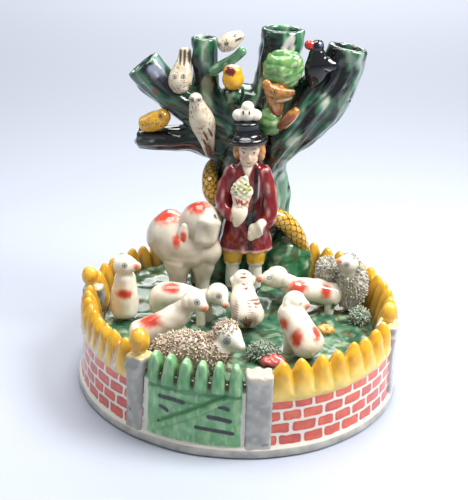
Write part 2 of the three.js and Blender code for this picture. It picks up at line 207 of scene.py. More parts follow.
@dataclass
class Path:
    """A path through stops [x, y, z, wide, deep], with a frame at each place on it."""

    stops: Stops
    hint: tuple[float, float, float] = (0.0, 1.0, 0.0)

    def __post_init__(self) -> None:
        """Fills in a missing depth with the width."""
        self.knots = np.array([list(s) + [s[3]] * (5 - len(s)) for s in self.stops], float)

    def frames(self, at: Array) -> tuple[Array, Array, Array, Array, Array]:
        """Works out centre, heading, side, rise and the two half-sizes at places from 0 to 1.

        The side is the hint with its part along the heading taken away, and the rise is heading x side.
        """
        found = catmull(self.knots, at)
        step = 1e-3
        heading = catmull(self.knots, at + step)[:, :3] - catmull(self.knots, at - step)[:, :3]
        ends = catmull(self.knots, np.array([0, step, 1 - step, 1]))[:, :3]
        heading[at <= 0] = ends[1] - ends[0]
        heading[at >= 1] = ends[3] - ends[2]
        heading /= np.linalg.norm(heading, axis=1, keepdims=True)
        hint = np.array(self.hint, float)
        side = hint - (heading @ hint)[:, None] * heading
        side /= np.linalg.norm(side, axis=1, keepdims=True)
        return found[:, :3], heading, side, np.cross(heading, side), found[:, 3:5]

    def rings(self, at: Array, sides: int, scale: Array, shift: Array) -> Array:
        """Oval rings: centre + shift along the heading + wide cos(angle) side + deep sin(angle) rise."""
        centre, heading, side, rise, size = self.frames(at)
        small = size.min(1)
        angle = np.linspace(0, 2 * math.pi, sides, endpoint=False)
        size = np.maximum(size, 0.05) * scale[:, None]
        middle = centre + heading * (shift * small)[:, None]
        return (
            middle[:, None]
            + side[:, None] * (size[:, :1, None] * np.cos(angle)[None, :, None])
            + rise[:, None] * (size[:, 1:, None] * np.sin(angle)[None, :, None])
        )

    def limb(self, sides: int = 26, count: int = 26, start: float = 0.8, end: float = 0.8) -> Shell:
        """A closed limb whose ends bulge by start and end times its smaller half-size.

        The rings of an end follow a quarter ellipse: shift by sin and shrink by cos.
        """
        turn = np.linspace(0, math.pi / 2, 7)[1:-1]
        at = np.concatenate([np.zeros(5), np.linspace(0, 1, count), np.ones(5)])
        shift = np.concatenate([-start * np.sin(turn)[::-1], np.zeros(count), end * np.sin(turn)])
        scale = np.concatenate([np.cos(turn)[::-1], np.ones(count), np.cos(turn)])
        rings = self.rings(at, sides, scale, shift)
        centre, heading, _, _, size = self.frames(np.array([0.0, 1.0]))
        small = size.min(1)
        return Shell.tube(
            rings, centre[0] - heading[0] * start * small[0], centre[1] + heading[1] * end * small[1]
        )

    def spout(self, bore: float, depth: float, lean: Sequence[float], sides: int = 40, count: int = 26) -> Shell:
        """A limb whose far end is an open mouth: up the outside, over a rounded lip and down the bore.

        Args:
            bore: The mouth's inner radius.
            depth: How deep the bore shows.
            lean: The way the mouth faces.
            sides: Points round.
            count: Rings up the outside.

        Returns:
            A closed shell like a long cup.
        """
        outer = self.rings(np.linspace(0, 1, count), sides, np.ones(count), np.zeros(count))
        centre, _, side, _, size = self.frames(np.array([1.0]))
        out = np.array(lean, float) / np.linalg.norm(lean)
        along = side[0] - (side[0] @ out) * out
        along /= np.linalg.norm(along)
        across = np.cross(out, along)
        half = float(size.mean())
        wall = half - bore
        lip = np.linspace(0.15, math.pi, 7)
        radius = np.concatenate([half - wall / 2 + wall / 2 * np.cos(lip), np.full(12, bore), [bore * 0.6]])
        height = np.concatenate([wall / 2 * np.sin(lip), -np.linspace(1, depth, 12), [-depth - bore * 0.5]])
        angle = np.linspace(0, 2 * math.pi, sides, endpoint=False)
        ring = along * np.cos(angle)[:, None] + across * np.sin(angle)[:, None]
        inner = centre[0] + out * height[:, None, None] + ring[None] * radius[:, None, None]
        first = self.frames(np.array([0.0]))[0][0]
        return Shell.tube(np.concatenate([outer, inner]), first, centre[0] - out * (depth + bore * 0.8))


def ball(
    centre: Sequence[float],
    halves: Sequence[float],
    turn: float = 0.0,
    tip: float = 0.0,
    sides: int = 26,
    rows: int = 16,
) -> Shell:
    """An egg: halves times (cos a sin b, sin a sin b, -cos b), tipped about Y, then turned about Z.

    Args:
        centre: Its middle.
        halves: Its half-sizes along X, Y and Z.
        turn: Degrees about Z.
        tip: Degrees about Y.
        sides: Points round.
        rows: Rings from pole to pole.

    Returns:
        A closed shell.
    """
    around = np.linspace(0, 2 * math.pi, sides, endpoint=False)
    down = np.linspace(0, math.pi, rows + 2)[1:-1, None]
    unit = np.stack(
        np.broadcast_arrays(np.cos(around) * np.sin(down), np.sin(around) * np.sin(down), -np.cos(down)), -1
    )
    place = Matrix.Rotation(math.radians(turn), 3, "Z") @ Matrix.Rotation(math.radians(tip), 3, "Y")
    spin = np.array(place)
    scale = np.array(halves, float)
    poles = np.array([[0, 0, -1.0], [0, 0, 1.0]]) * scale @ spin.T + np.array(centre, float)
    return Shell.tube(unit * scale @ spin.T + np.array(centre, float), poles[0], poles[1])


class Piece:
    """One mesh of the vase while it is being modelled, smoothed and painted."""

    def __init__(self, name: str, shell: Shell) -> None:
        """Makes the mesh from a shell in millimetres."""
        self.name = name
        mesh = bpy.data.meshes.new(name)
        mesh.vertices.add(len(shell.points))
        mesh.vertices.foreach_set("co", (shell.points * MM).astype(np.float32).ravel())
        corners = np.concatenate([shell.quads.ravel(), shell.triangles.ravel()])
        totals = np.concatenate([np.full(len(shell.quads), 4), np.full(len(shell.triangles), 3)])
        mesh.loops.add(len(corners))
        mesh.loops.foreach_set("vertex_index", corners.astype(np.int32))
        mesh.polygons.add(len(totals))
        mesh.polygons.foreach_set("loop_start", np.concatenate([[0], np.cumsum(totals)[:-1]]).astype(np.int32))
        mesh.polygons.foreach_set("loop_total", totals.astype(np.int32))
        mesh.update(calc_edges=True)
        mesh.validate()
        self.object = bpy.data.objects.new(name, mesh)
        bpy.context.scene.collection.objects.link(self.object)
        self.smooth()

    @property
    def mesh(self) -> bpy.types.Mesh:
        """The piece's mesh."""
        return self.object.data

    def smooth(self) -> None:
        """Shades every face smoothly."""
        self.mesh.polygons.foreach_set("use_smooth", np.ones(len(self.mesh.polygons), bool))

    def points(self) -> Array:
        """The mesh's points, in millimetres."""
        found = np.empty(len(self.mesh.vertices) * 3, np.float32)
        self.mesh.vertices.foreach_get("co", found)
        return found.reshape(-1, 3).astype(float) / MM

    def normals(self) -> Array:
        """The unit normal at each point."""
        found = np.empty(len(self.mesh.vertices) * 3, np.float32)
        self.mesh.vertex_normals.foreach_get("vector", found)
        return found.reshape(-1, 3).astype(float)

    def move(self, points: Array) -> None:
        """Puts the mesh's points somewhere new, in millimetres."""
        self.mesh.vertices.foreach_set("co", (points * MM).astype(np.float32).ravel())
        self.mesh.update()

    def fuse(self, voxel: float, ease: int) -> "Piece":
        """Melts overlapping shells into one skin and eases it, as clay and glaze run together.

        Args:
            voxel: The grain of the new skin, in millimetres.
            ease: How many times each point is moved half way to its neighbours' mean.

        Returns:
            The piece itself.
        """
        remesh = self.object.modifiers.new("one_skin", "REMESH")
        remesh.mode = "VOXEL"
        remesh.voxel_size = voxel * MM
        remesh.use_smooth_shade = True
        if ease:
            even = self.object.modifiers.new("run_together", "SMOOTH")
            even.factor = 0.5
            even.iterations = ease
        graph = bpy.context.evaluated_depsgraph_get()
        mesh = bpy.data.meshes.new_from_object(self.object.evaluated_get(graph))
        old = self.mesh
        self.object.modifiers.clear()
        self.object.data = mesh
        bpy.data.meshes.remove(old)
        mesh.name = self.name
        self.smooth()
        return self

    def refine(self, spots: Array, reach: float, cuts: int = 2) -> "Piece":
        """Cuts the faces near some spots finer, so that thin brushwork stays sharp there."""
        mesh = self.mesh
        middles = np.empty(len(mesh.polygons) * 3, np.float32)
        mesh.polygons.foreach_get("center", middles)
        middles = middles.reshape(-1, 3) / MM
        spots = np.atleast_2d(np.asarray(spots, float))
        near = (np.linalg.norm(middles[:, None] - spots[None], axis=2) < reach).any(1)
        form = bmesh.new()
        form.from_mesh(mesh)
        form.faces.ensure_lookup_table()
        edges = {edge for index in np.nonzero(near)[0] for edge in form.faces[index].edges}
        bmesh.ops.subdivide_edges(form, edges=list(edges), cuts=cuts, use_grid_fill=True, smooth=0.0)
        form.to_mesh(mesh)
        form.free()
        mesh.update()
        self.smooth()
        return self

    def hollowness(self, rounds: int = 6) -> Array:
        """How far each point lies below its neighbourhood, in millimetres: where glaze pools and shade is painted, and,
        negated, where ridge highlight is painted.

        The points are moved to their neighbours' mean a few times, and the move is measured along the normal.
        """
        pairs = np.empty(len(self.mesh.edges) * 2, np.int32)
        self.mesh.edges.foreach_get("vertices", pairs)
        pairs = pairs.reshape(-1, 2)
        start = self.points()
        places = start
        count = np.bincount(pairs.ravel(), minlength=len(start))[:, None].clip(1)
        for _ in range(rounds):
            total = np.stack(
                [
                    np.bincount(pairs[:, 0], places[pairs[:, 1], k], len(start))
                    + np.bincount(pairs[:, 1], places[pairs[:, 0], k], len(start))
                    for k in range(3)
                ],
                1,
            )
            places = total / count
        return ((places - start) * self.normals()).sum(1)

    def store(self, name: str, values: Array) -> None:
        """Keeps a colour or a number at each point under a name."""
        if values.ndim == 2:
            colour = np.concatenate([values, np.ones((len(values), 1))], 1).astype(np.float32)
            self.mesh.color_attributes.new(name, "FLOAT_COLOR", "POINT").data.foreach_set("color", colour.ravel())
        else:
            self.mesh.attributes.new(name, "FLOAT", "POINT").data.foreach_set("value", values.astype(np.float32))

    def wrap(self, along: Array, up: Array) -> None:
        """Gives the mesh a UV map in millimetres from two numbers at each point."""
        corners = np.empty(len(self.mesh.loops), np.int32)
        self.mesh.loops.foreach_get("vertex_index", corners)
        layer = self.mesh.uv_layers.new(name="mm")
        layer.data.foreach_set("uv", np.stack([along, up], 1)[corners].astype(np.float32).ravel())

    def finish(self, material: bpy.types.Material) -> None:
        """Dresses the piece, sets it on the vase and reports it."""
        self.mesh.materials.clear()
        self.mesh.materials.append(material)
        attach(self.object, BODY)
        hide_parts(NODE)
        self.mesh.calc_loop_triangles()
        log.info("%s: %d triangles", self.name, len(self.mesh.loop_triangles))


class Brush:
    """Colours brushed on a piece, one over another, as one linear colour at each point."""

    def __init__(self, piece: Piece, ground: str) -> None:
        """Starts from a plain ground colour."""
        self.piece = piece
        self.places = piece.points()
        self.normals = piece.normals()
        self.colour = np.tile(np.array(linear(ground)[:3]), (len(self.places), 1))

    def lay(self, cover: Array, colour: str) -> "Brush":
        """Lays a colour where cover is 1, and partly where it is less."""
        cover = np.clip(cover, 0, 1)[:, None]
        self.colour = self.colour * (1 - cover) + np.array(linear(colour)[:3]) * cover
        return self

    def patch(
        self, centre: Sequence[float], halves: Any, colour: str, soft: float = 0.5, wander: float = 0.18, seed: int = 1
    ) -> "Brush":
        """A soft dab: full inside an egg about the centre, gone at its edge, with a wandering outline."""
        away = (self.places - np.array(centre, float)) / np.broadcast_to(np.array(halves, float), 3)
        reach = np.linalg.norm(away, axis=1) + wander * cloud(self.places, 3.5, seed)
        return self.lay(smooth_step(reach, 1.0, 1.0 - soft), colour)

    def stroke(
        self, path: Stops, width: float, colour: str, soft: float = 0.4, taper: bool = True, depth: float = 1.0
    ) -> "Brush":
        """A brush line: cover falls with the distance to the nearest stretch of the path.

        Args:
            path: Points on or near the surface.
            width: The line's full width.
            colour: Its colour.
            soft: The share of the half-width over which it fades.
            taper: Whether it thins towards both ends.
            depth: How much a distance along Y counts, so that a path need not lie exactly on the surface.

        Returns:
            The brush.
        """
        count_y = np.array([1.0, depth, 1.0])
        knots = catmull(np.array(path, float), np.linspace(0, 1, 4 * len(path) - 3)) * count_y
        span = len(knots) - 1
        best = np.full(len(self.places), 9.0)
        low, high = knots.min(0) - width, knots.max(0) + width
        near = ((self.places * count_y > low) & (self.places * count_y < high)).all(1)
        spot = self.places[near] * count_y
        found = np.full(len(spot), 9.0)
        for k in range(span):
            start, way = knots[k], knots[k + 1] - knots[k]
            t = np.clip((spot - start) @ way / (way @ way + 1e-12), 0, 1)
            gap = np.linalg.norm(spot - start - t[:, None] * way, axis=1)
            thin = 1 - 0.65 * abs(2 * (k + t) / span - 1) ** 3 if taper else 1.0
            found = np.minimum(found, gap / (width / 2 * thin))
        best[near] = found
        return self.lay(smooth_step(best, 1.0 + soft, 1.0 - soft), colour)

    def pool(self, colour: str, depth: float, strength: float = 1.0) -> "Brush":
        """Tints the hollows as pooled glaze and painted shade: full where the surface lies `depth` mm low."""
        return self.lay(strength * smooth_step(self.piece.hollowness(), depth * 0.15, depth), colour)

    def eye(self, centre: Sequence[float], size: float, gaze: Sequence[float] = (1, 0, 0.6)) -> "Brush":
        """A painted eye: a dark pupil, a pale grey ring, a dark outline, and a brow arc above.

        Args:
            centre: The eye's middle on the surface.
            size: The outline's radius.
            gaze: The way that the brow lies from the eye.

        Returns:
            The brush.
        """
        away = self.places - np.array(centre, float)
        reach = np.linalg.norm(away, axis=1)
        way = np.array(gaze, float) / np.linalg.norm(gaze)
        turned = (away @ way) / np.maximum(reach, 1e-6)
        line = 0.13 * size
        self.lay(smooth_step(reach, 1.02 * size, 0.9 * size), "#B4B6B0")
        self.lay(smooth_step(reach, 0.7 * size, 0.56 * size), "#8B8F90")
        self.lay(smooth_step(abs(reach - size), line * 1.5, line * 0.5) * 0.85, "#48474A")
        self.lay(smooth_step(reach, 0.4 * size, 0.26 * size), "#17171B")
        brow = smooth_step(abs(reach - 1.55 * size), line * 1.4, line * 0.5) * smooth_step(turned, 0.35, 0.7)
        return self.lay(brow * 0.6, "#6A6460")

    def paint_ridge_highlight(self, colour: str, rise: float, strength: float) -> "Brush":
        """Lightens the ridges as a painted highlight: full where the surface stands `rise` mm high."""
        return self.lay(strength * smooth_step(-self.piece.hollowness(), rise * 0.2, rise), colour)

    def blush(self, centre: Sequence[float], halves: Any, seed: int = 1) -> "Brush":
        """A sponged dab of iron red: a pale halo under a deeper middle."""
        self.patch(centre, np.array(halves) * 1.16, "#E39C86", 0.75, 0.06, seed)
        return self.patch(centre, np.array(halves) * 0.98, "#C8452E", 0.7, 0.08, seed)

    def done(self) -> None:
        """Stores the colours with the piece."""
        self.piece.store("paint", self.colour)


def add(tree: bpy.types.NodeTree, kind: str, inputs: dict[Any, Any] | None = None, **settings: Any) -> bpy.types.Node:
    """Adds a node, sets it up and links it.

    Args:
        tree: The material's or world's node tree.
        kind: The node's type name.
        inputs: A value or a socket to link, by each input's name or number.
        settings: The node's own properties; `stops` gives a colour ramp's (place, hex colour) pairs.

    Returns:
        The node.
    """
    made = tree.nodes.new(kind)
    for key, value in settings.items():
        if key == "stops":
            ramp = made.color_ramp
            while len(ramp.elements) < len(value):
                ramp.elements.new(1.0)
            for element, (place, code) in zip(ramp.elements, value):
                element.position = place
                element.color = linear(code)
        else:
            setattr(made, key, value)
    for key, value in (inputs or {}).items():
        if isinstance(value, bpy.types.NodeSocket):
            tree.links.new(value, made.inputs[key])
        else:
            made.inputs[key].default_value = value
    return made


def new_material(name: str) -> tuple[bpy.types.Material, bpy.types.NodeTree, bpy.types.Node]:
    """Starts a material and returns it with its tree and its Principled shader."""
    material = bpy.data.materials.new(name)
    material.use_nodes = True
    tree = material.node_tree
    return material, tree, tree.nodes["Principled BSDF"]


@dataclass(frozen=True)
class GlazedPearlware:
    """Painted earthenware under a clear lead glaze.

    Pressed or hand-modelled white clay, painted with metal-oxide colours and dipped in glaze. The eye sees
    wet-looking highlights, a slight ripple where the glaze ran, and colour that clouds a little.
    """

    name: str = "glazed_pearlware"
    roughness: float = 0.13
    clouding: float = 0.16
    cloud_mm: float = 5.0
    ripple_mm: float = 3.2
    ripple_height_mm: float = 0.05
    depth: float = 0.0

    def material(self) -> bpy.types.Material:
        """Builds the material: the painted colour, clouded by noise, under a rippled gloss."""
        made, tree, shader = new_material(self.name)
        place = add(tree, "ShaderNodeTexCoord").outputs["Object"]
        paint = add(tree, "ShaderNodeAttribute", attribute_name="paint").outputs["Color"]
        mist = add(tree, "ShaderNodeTexNoise", {"Vector": place, "Scale": 1 / (self.cloud_mm * MM), "Detail": 4.0})
        shade = add(
            tree,
            "ShaderNodeMapRange",
            {"Value": mist.outputs["Fac"], "From Min": 0.3, "From Max": 0.7, "To Min": 1 - self.clouding, "To Max": 1.04},
        )
        tint = add(
            tree,
            "ShaderNodeMix",
            {"Factor": 1.0, 6: paint, 7: shade.outputs["Result"]},
            data_type="RGBA",
            blend_type="MULTIPLY",
        )
        tree.links.new(tint.outputs[2], shader.inputs["Base Color"])
        swim = add(tree, "ShaderNodeTexNoise", {"Vector": place, "Scale": 1 / (self.ripple_mm * MM), "Detail": 2.0})
        bump = add(
            tree,
            "ShaderNodeBump",
            {"Strength": 0.6, "Distance": self.ripple_height_mm * MM, "Height": swim.outputs["Fac"]},
        )
        tree.links.new(bump.outputs["Normal"], shader.inputs["Normal"])
        shader.inputs["Roughness"].default_value = self.roughness
        shader.inputs["IOR"].default_value = 1.52
        shader.inputs["Coat Weight"].default_value = 0.35
        shader.inputs["Coat Roughness"].default_value = 0.05
        if self.depth:
            shader.inputs["Subsurface Weight"].default_value = self.depth
            shader.inputs["Subsurface Radius"].default_value = (1.0, 0.7, 0.4)
            shader.inputs["Subsurface Scale"].default_value = 1.2 * MM
        return made


@dataclass(frozen=True)
class HandLaidBricks:
    """Bricks painted on the fold's wall: rows of rounded red dabs with white clay left as mortar.

    The dabs are laid by hand, so their edges wander about half a millimetre. The foot below is grey.
    """

    name: str = "painted_bricks"
    row_mm: float = 6.9
    first_row_mm: float = 6.1
    length_mm: float = 12.6
    mortar_mm: float = 1.45
    corner_mm: float = 1.3
    foot_top_mm: float = 5.0
    wander_mm: float = 0.7

    def material(self) -> bpy.types.Material:
        """Builds the material on the wall's own UV map, whose numbers are millimetres."""
        made, tree, shader = new_material(self.name)

        def sum_up(operation: str, *values: Any, clamp: bool = False) -> bpy.types.NodeSocket:
            """One step of arithmetic on numbers or sockets."""
            inputs = dict(enumerate(values))
            return add(tree, "ShaderNodeMath", inputs, operation=operation, use_clamp=clamp).outputs[0]

        place = add(tree, "ShaderNodeUVMap", uv_map="mm").outputs["UV"]
        sway = add(tree, "ShaderNodeTexNoise", {"Vector": place, "Scale": 1 / 6.0, "Detail": 1.5})
        moved = add(
            tree,
            "ShaderNodeVectorMath",
            {0: sway.outputs["Color"], 1: (-0.5, -0.5, -0.5)},
            operation="ADD",
        )
        wander = add(
            tree,
            "ShaderNodeVectorMath",
            {0: moved.outputs[0], 1: (self.wander_mm * 2.2, self.wander_mm * 2.2, 0), 2: place},
            operation="MULTIPLY_ADD",
        )
        flat = add(tree, "ShaderNodeSeparateXYZ", {0: wander.outputs[0]})
        straight = add(tree, "ShaderNodeSeparateXYZ", {0: place})
        height = sum_up("DIVIDE", sum_up("SUBTRACT", flat.outputs[1], self.first_row_mm), self.row_mm)
        row = sum_up("FLOOR", height)
        shift = sum_up("MULTIPLY", sum_up("PINGPONG", row, 1.0), 0.46)
        own = add(tree, "ShaderNodeCombineXYZ", {0: flat.outputs[0], 1: sum_up("MULTIPLY", row, 57.0)}).outputs[0]
        uneven = add(tree, "ShaderNodeTexNoise", {"Vector": own, "Scale": 1 / 17.0, "Detail": 0.0}).outputs["Fac"]
        shift = sum_up("MULTIPLY_ADD", uneven, 0.42, shift)
        along = sum_up("ADD", sum_up("DIVIDE", flat.outputs[0], self.length_mm), shift)
        brick = sum_up("FLOOR", along)
        across = sum_up("ABSOLUTE", sum_up("SUBTRACT", sum_up("FRACT", along), 0.5))
        upward = sum_up("ABSOLUTE", sum_up("SUBTRACT", sum_up("FRACT", height), 0.5))
        inset = self.mortar_mm / 2 + self.corner_mm
        over_x = sum_up("MAXIMUM", sum_up("MULTIPLY_ADD", across, self.length_mm, inset - self.length_mm / 2), 0.0)
        over_y = sum_up("MAXIMUM", sum_up("MULTIPLY_ADD", upward, self.row_mm, inset - self.row_mm / 2), 0.0)
        gap = sum_up("SQRT", sum_up("MULTIPLY_ADD", over_x, over_x, sum_up("MULTIPLY", over_y, over_y)))
        edge = add(
            tree,
            "ShaderNodeMapRange",
            {"Value": gap, "From Min": self.corner_mm - 0.25, "From Max": self.corner_mm + 0.2, "To Min": 1.0, "To Max": 0.0},
        ).outputs["Result"]
        edge = sum_up("MULTIPLY", edge, sum_up("GREATER_THAN", height, 0.0))
        cell = add(tree, "ShaderNodeCombineXYZ", {0: brick, 1: row})
        chance = add(tree, "ShaderNodeTexWhiteNoise", {"Vector": cell.outputs[0]}, noise_dimensions="2D").outputs["Value"]
        wash = add(tree, "ShaderNodeTexNoise", {"Vector": place, "Scale": 1 / 4.0, "Detail": 3.0}).outputs["Fac"]
        tone = sum_up("MULTIPLY_ADD", wash, 0.8, sum_up("MULTIPLY", chance, 0.3))
        tone = sum_up("MULTIPLY_ADD", gap, -0.22, tone)
        red = add(
            tree,
            "ShaderNodeValToRGB",
            {"Fac": tone},
            stops=((0.2, "#AE4A4A"), (0.42, "#CB5044"), (0.62, "#DA5C46"), (0.9, "#E67656")),
        ).outputs["Color"]
        ground = add(tree, "ShaderNodeMix", {"Factor": edge, 6: linear("#E6DECF"), 7: red}, data_type="RGBA").outputs[2]
        foot = add(
            tree,
            "ShaderNodeMapRange",
            {"Value": straight.outputs[1], "From Min": self.foot_top_mm - 0.3, "From Max": self.foot_top_mm + 0.3},
        ).outputs["Result"]
        stone = add(tree, "ShaderNodeTexNoise", {"Vector": place, "Scale": 1 / 9.0, "Detail": 5.0}).outputs["Fac"]
        grey = add(
            tree,
            "ShaderNodeValToRGB",
            {"Fac": stone},
            stops=((0.3, "#8F8D87"), (0.5, "#ABA9A2"), (0.7, "#C4C1B5")),
        ).outputs["Color"]
        whole = add(tree, "ShaderNodeMix", {"Factor": foot, 6: grey, 7: ground}, data_type="RGBA").outputs[2]
        tree.links.new(whole, shader.inputs["Base Color"])
        shader.inputs["Roughness"].default_value = 0.16
        shader.inputs["IOR"].default_value = 1.52
        shader.inputs["Coat Weight"].default_value = 0.35
        shader.inputs["Coat Roughness"].default_value = 0.05
        return made


@dataclass(frozen=True)
class Studio:
    """A pale sweep, soft window light and the camera at the photograph's viewing angle."""

    place_mm: tuple[float, float, float] = (-4.25, -522.5, 298.8)
    pitch: float = 22.962
    roll: float = 1.8255
    lens_mm: float = 71.28
    lamps: tuple[tuple[tuple[float, float, float], tuple[float, float, float], float, float], ...] = (
        ((370.0, -70.0, 560.0), (0.0, 0.0, 60.0), 300.0, 6.3),
        ((-60.0, 20.0, 660.0), (0.0, 0.0, 60.0), 320.0, 2.8),
        ((-500.0, 60.0, 460.0), (0.0, 0.0, 80.0), 260.0, 0.5),
        ((150.0, 1900.0, 1300.0), (0.0, 1500.0, 0.0), 1500.0, 40.0),
    )

    def build(self) -> None:
        """Adds the camera, the lamps, the world and the floor."""
        pitch, roll = math.radians(self.pitch), math.radians(self.roll)
        ahead = np.array([0, math.cos(pitch), -math.sin(pitch)])
        level = np.array([1.0, 0, 0])
        upright = np.cross(level, ahead)
        right = math.cos(roll) * level + math.sin(roll) * upright
        up = -math.sin(roll) * level + math.cos(roll) * upright
        data = bpy.data.cameras.new("camera")
        data.lens = self.lens_mm
        data.sensor_width = 36.0
        data.clip_start = 0.01
        camera = bpy.data.objects.new("camera", data)
        turn = Matrix([list(row) for row in np.stack([right, up, -ahead], 1)]).to_4x4()
        camera.matrix_world = Matrix.Translation(np.array(self.place_mm) * MM) @ turn
        bpy.context.scene.collection.objects.link(camera)
        bpy.context.scene.camera = camera
        for index, (place, aim, size, power) in enumerate(self.lamps):
            lamp = bpy.data.lights.new(f"window_{index}", "AREA")
            lamp.energy = power
            lamp.size = size * MM
            lamp.color = (1.0, 0.99, 0.97)
            holder = bpy.data.objects.new(f"window_{index}", lamp)
            away = Matrix.Translation(np.array(place) * MM)
            look = (np.array(aim) - np.array(place)) * MM
            from_z = Matrix.Identity(3).col[2] * -1
            holder.matrix_world = away @ from_z.rotation_difference(Matrix([look, look, look])[0]).to_matrix().to_4x4()
            bpy.context.scene.collection.objects.link(holder)
        world = bpy.data.worlds.new("pale_room")
        world.use_nodes = True
        sky = world.node_tree.nodes["Background"]
        sky.inputs["Color"].default_value = linear("#EDF0F6")
        sky.inputs["Strength"].default_value = 0.43
        bpy.context.scene.world = world
        bpy.context.scene.view_settings.view_transform = "Standard"
        self.floor()

    def floor(self) -> None:
        """A wide flat pale sheet, a hair under the foot."""
        across, back = np.meshgrid(np.linspace(-6000, 6000, 3), np.linspace(-3000, 12000, 3), indexing="xy")
        grid = Shell.grid(np.stack([across, back, 0 * across - 0.05], -1), wrap=False)
        sheet = Piece("floor", grid)
        made, _, shader = new_material("pale_paper")
        shader.inputs["Base Color"].default_value = linear("#AFB5C2")
        shader.inputs["Roughness"].default_value = 0.75
        sheet.mesh.materials.append(made)
        sheet.object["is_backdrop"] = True


class Teeth(Enum):
    """How a stretch of the crest is cut."""

    FINIAL = "rounded yellow finials"
    HIDDEN = "the same, half as tall and left plainer"
    PALING = "green gate palings"


@dataclass
class FoldWall:
    """The drum of the sheepfold: underside, foot and brick-painted wall, turned on one axis."""

    foot_radius: float = 94.9
    foot_height: float = 6.4
    recess: float = 3.0
    ring_radius: float = 86.0
    wall_foot: float = 92.6
    wall_top: float = 91.3
    brick_top: float = 33.0
    ground: float = 30.0

    def build(self) -> None:
        """Turns the profile: straight runs between corners, eased by a running mean."""
        corners = np.array(
            [
                (0.5, self.recess),
                (self.ring_radius - 2, self.recess),
                (self.ring_radius, 0.0),
                (self.foot_radius - 0.8, 0.0),
                (self.foot_radius, 1.0),
                (self.foot_radius - 0.4, self.foot_height - 1.4),
                (self.wall_foot + 0.6, self.foot_height - 0.4),
                (self.wall_foot, self.foot_height + 0.8),
                (self.wall_top, self.brick_top),
                (self.wall_top - 3, self.brick_top + 1),
                (self.wall_top - 8, self.ground - 4),
                (2.0, self.ground - 4),
            ]
        )
        step = np.concatenate([[0], np.cumsum(np.hypot(*np.diff(corners, axis=0).T))])
        along = np.concatenate(
            [
                np.linspace(0, step[1], 12, endpoint=False),
                np.arange(step[1], step[-2], 0.9),
                np.linspace(step[-2], step[-1], 8),
            ]
        )
        outline = np.stack([np.interp(along, step, corners[:, k]) for k in (0, 1)], 1)
        for _ in range(2):
            outline[13:-1] = (outline[12:-2] + outline[13:-1] * 2 + outline[14:]) / 4
        outline[:, 1] = outline[:, 1].clip(0)
        azimuth = np.arange(0, 360, 1.0)
        radius = np.broadcast_to(outline[:, :1], (len(outline), len(azimuth)))
        points = polar(azimuth[None], radius, outline[:, 1:])
        drift = 0.16 * cloud(points, 45.0, 3) + 0.07 * cloud(points, 14.0, 4)
        inner = smooth_step(outline[:, :1], self.ring_radius, self.ring_radius + 6)
        points = polar(azimuth[None], radius + (drift - 0.2) * inner, outline[:, 1:])
        drop = np.array([0, 0, self.recess])
        wall = Piece("fold_wall", Shell.tube(points, drop, points[-1].mean(0)))
        found = wall.points()
        angle = np.degrees(np.arctan2(found[:, 0], -found[:, 1]))
        wall.wrap(np.radians(angle) * self.wall_foot, found[:, 2])
        wall.finish(HandLaidBricks().material())


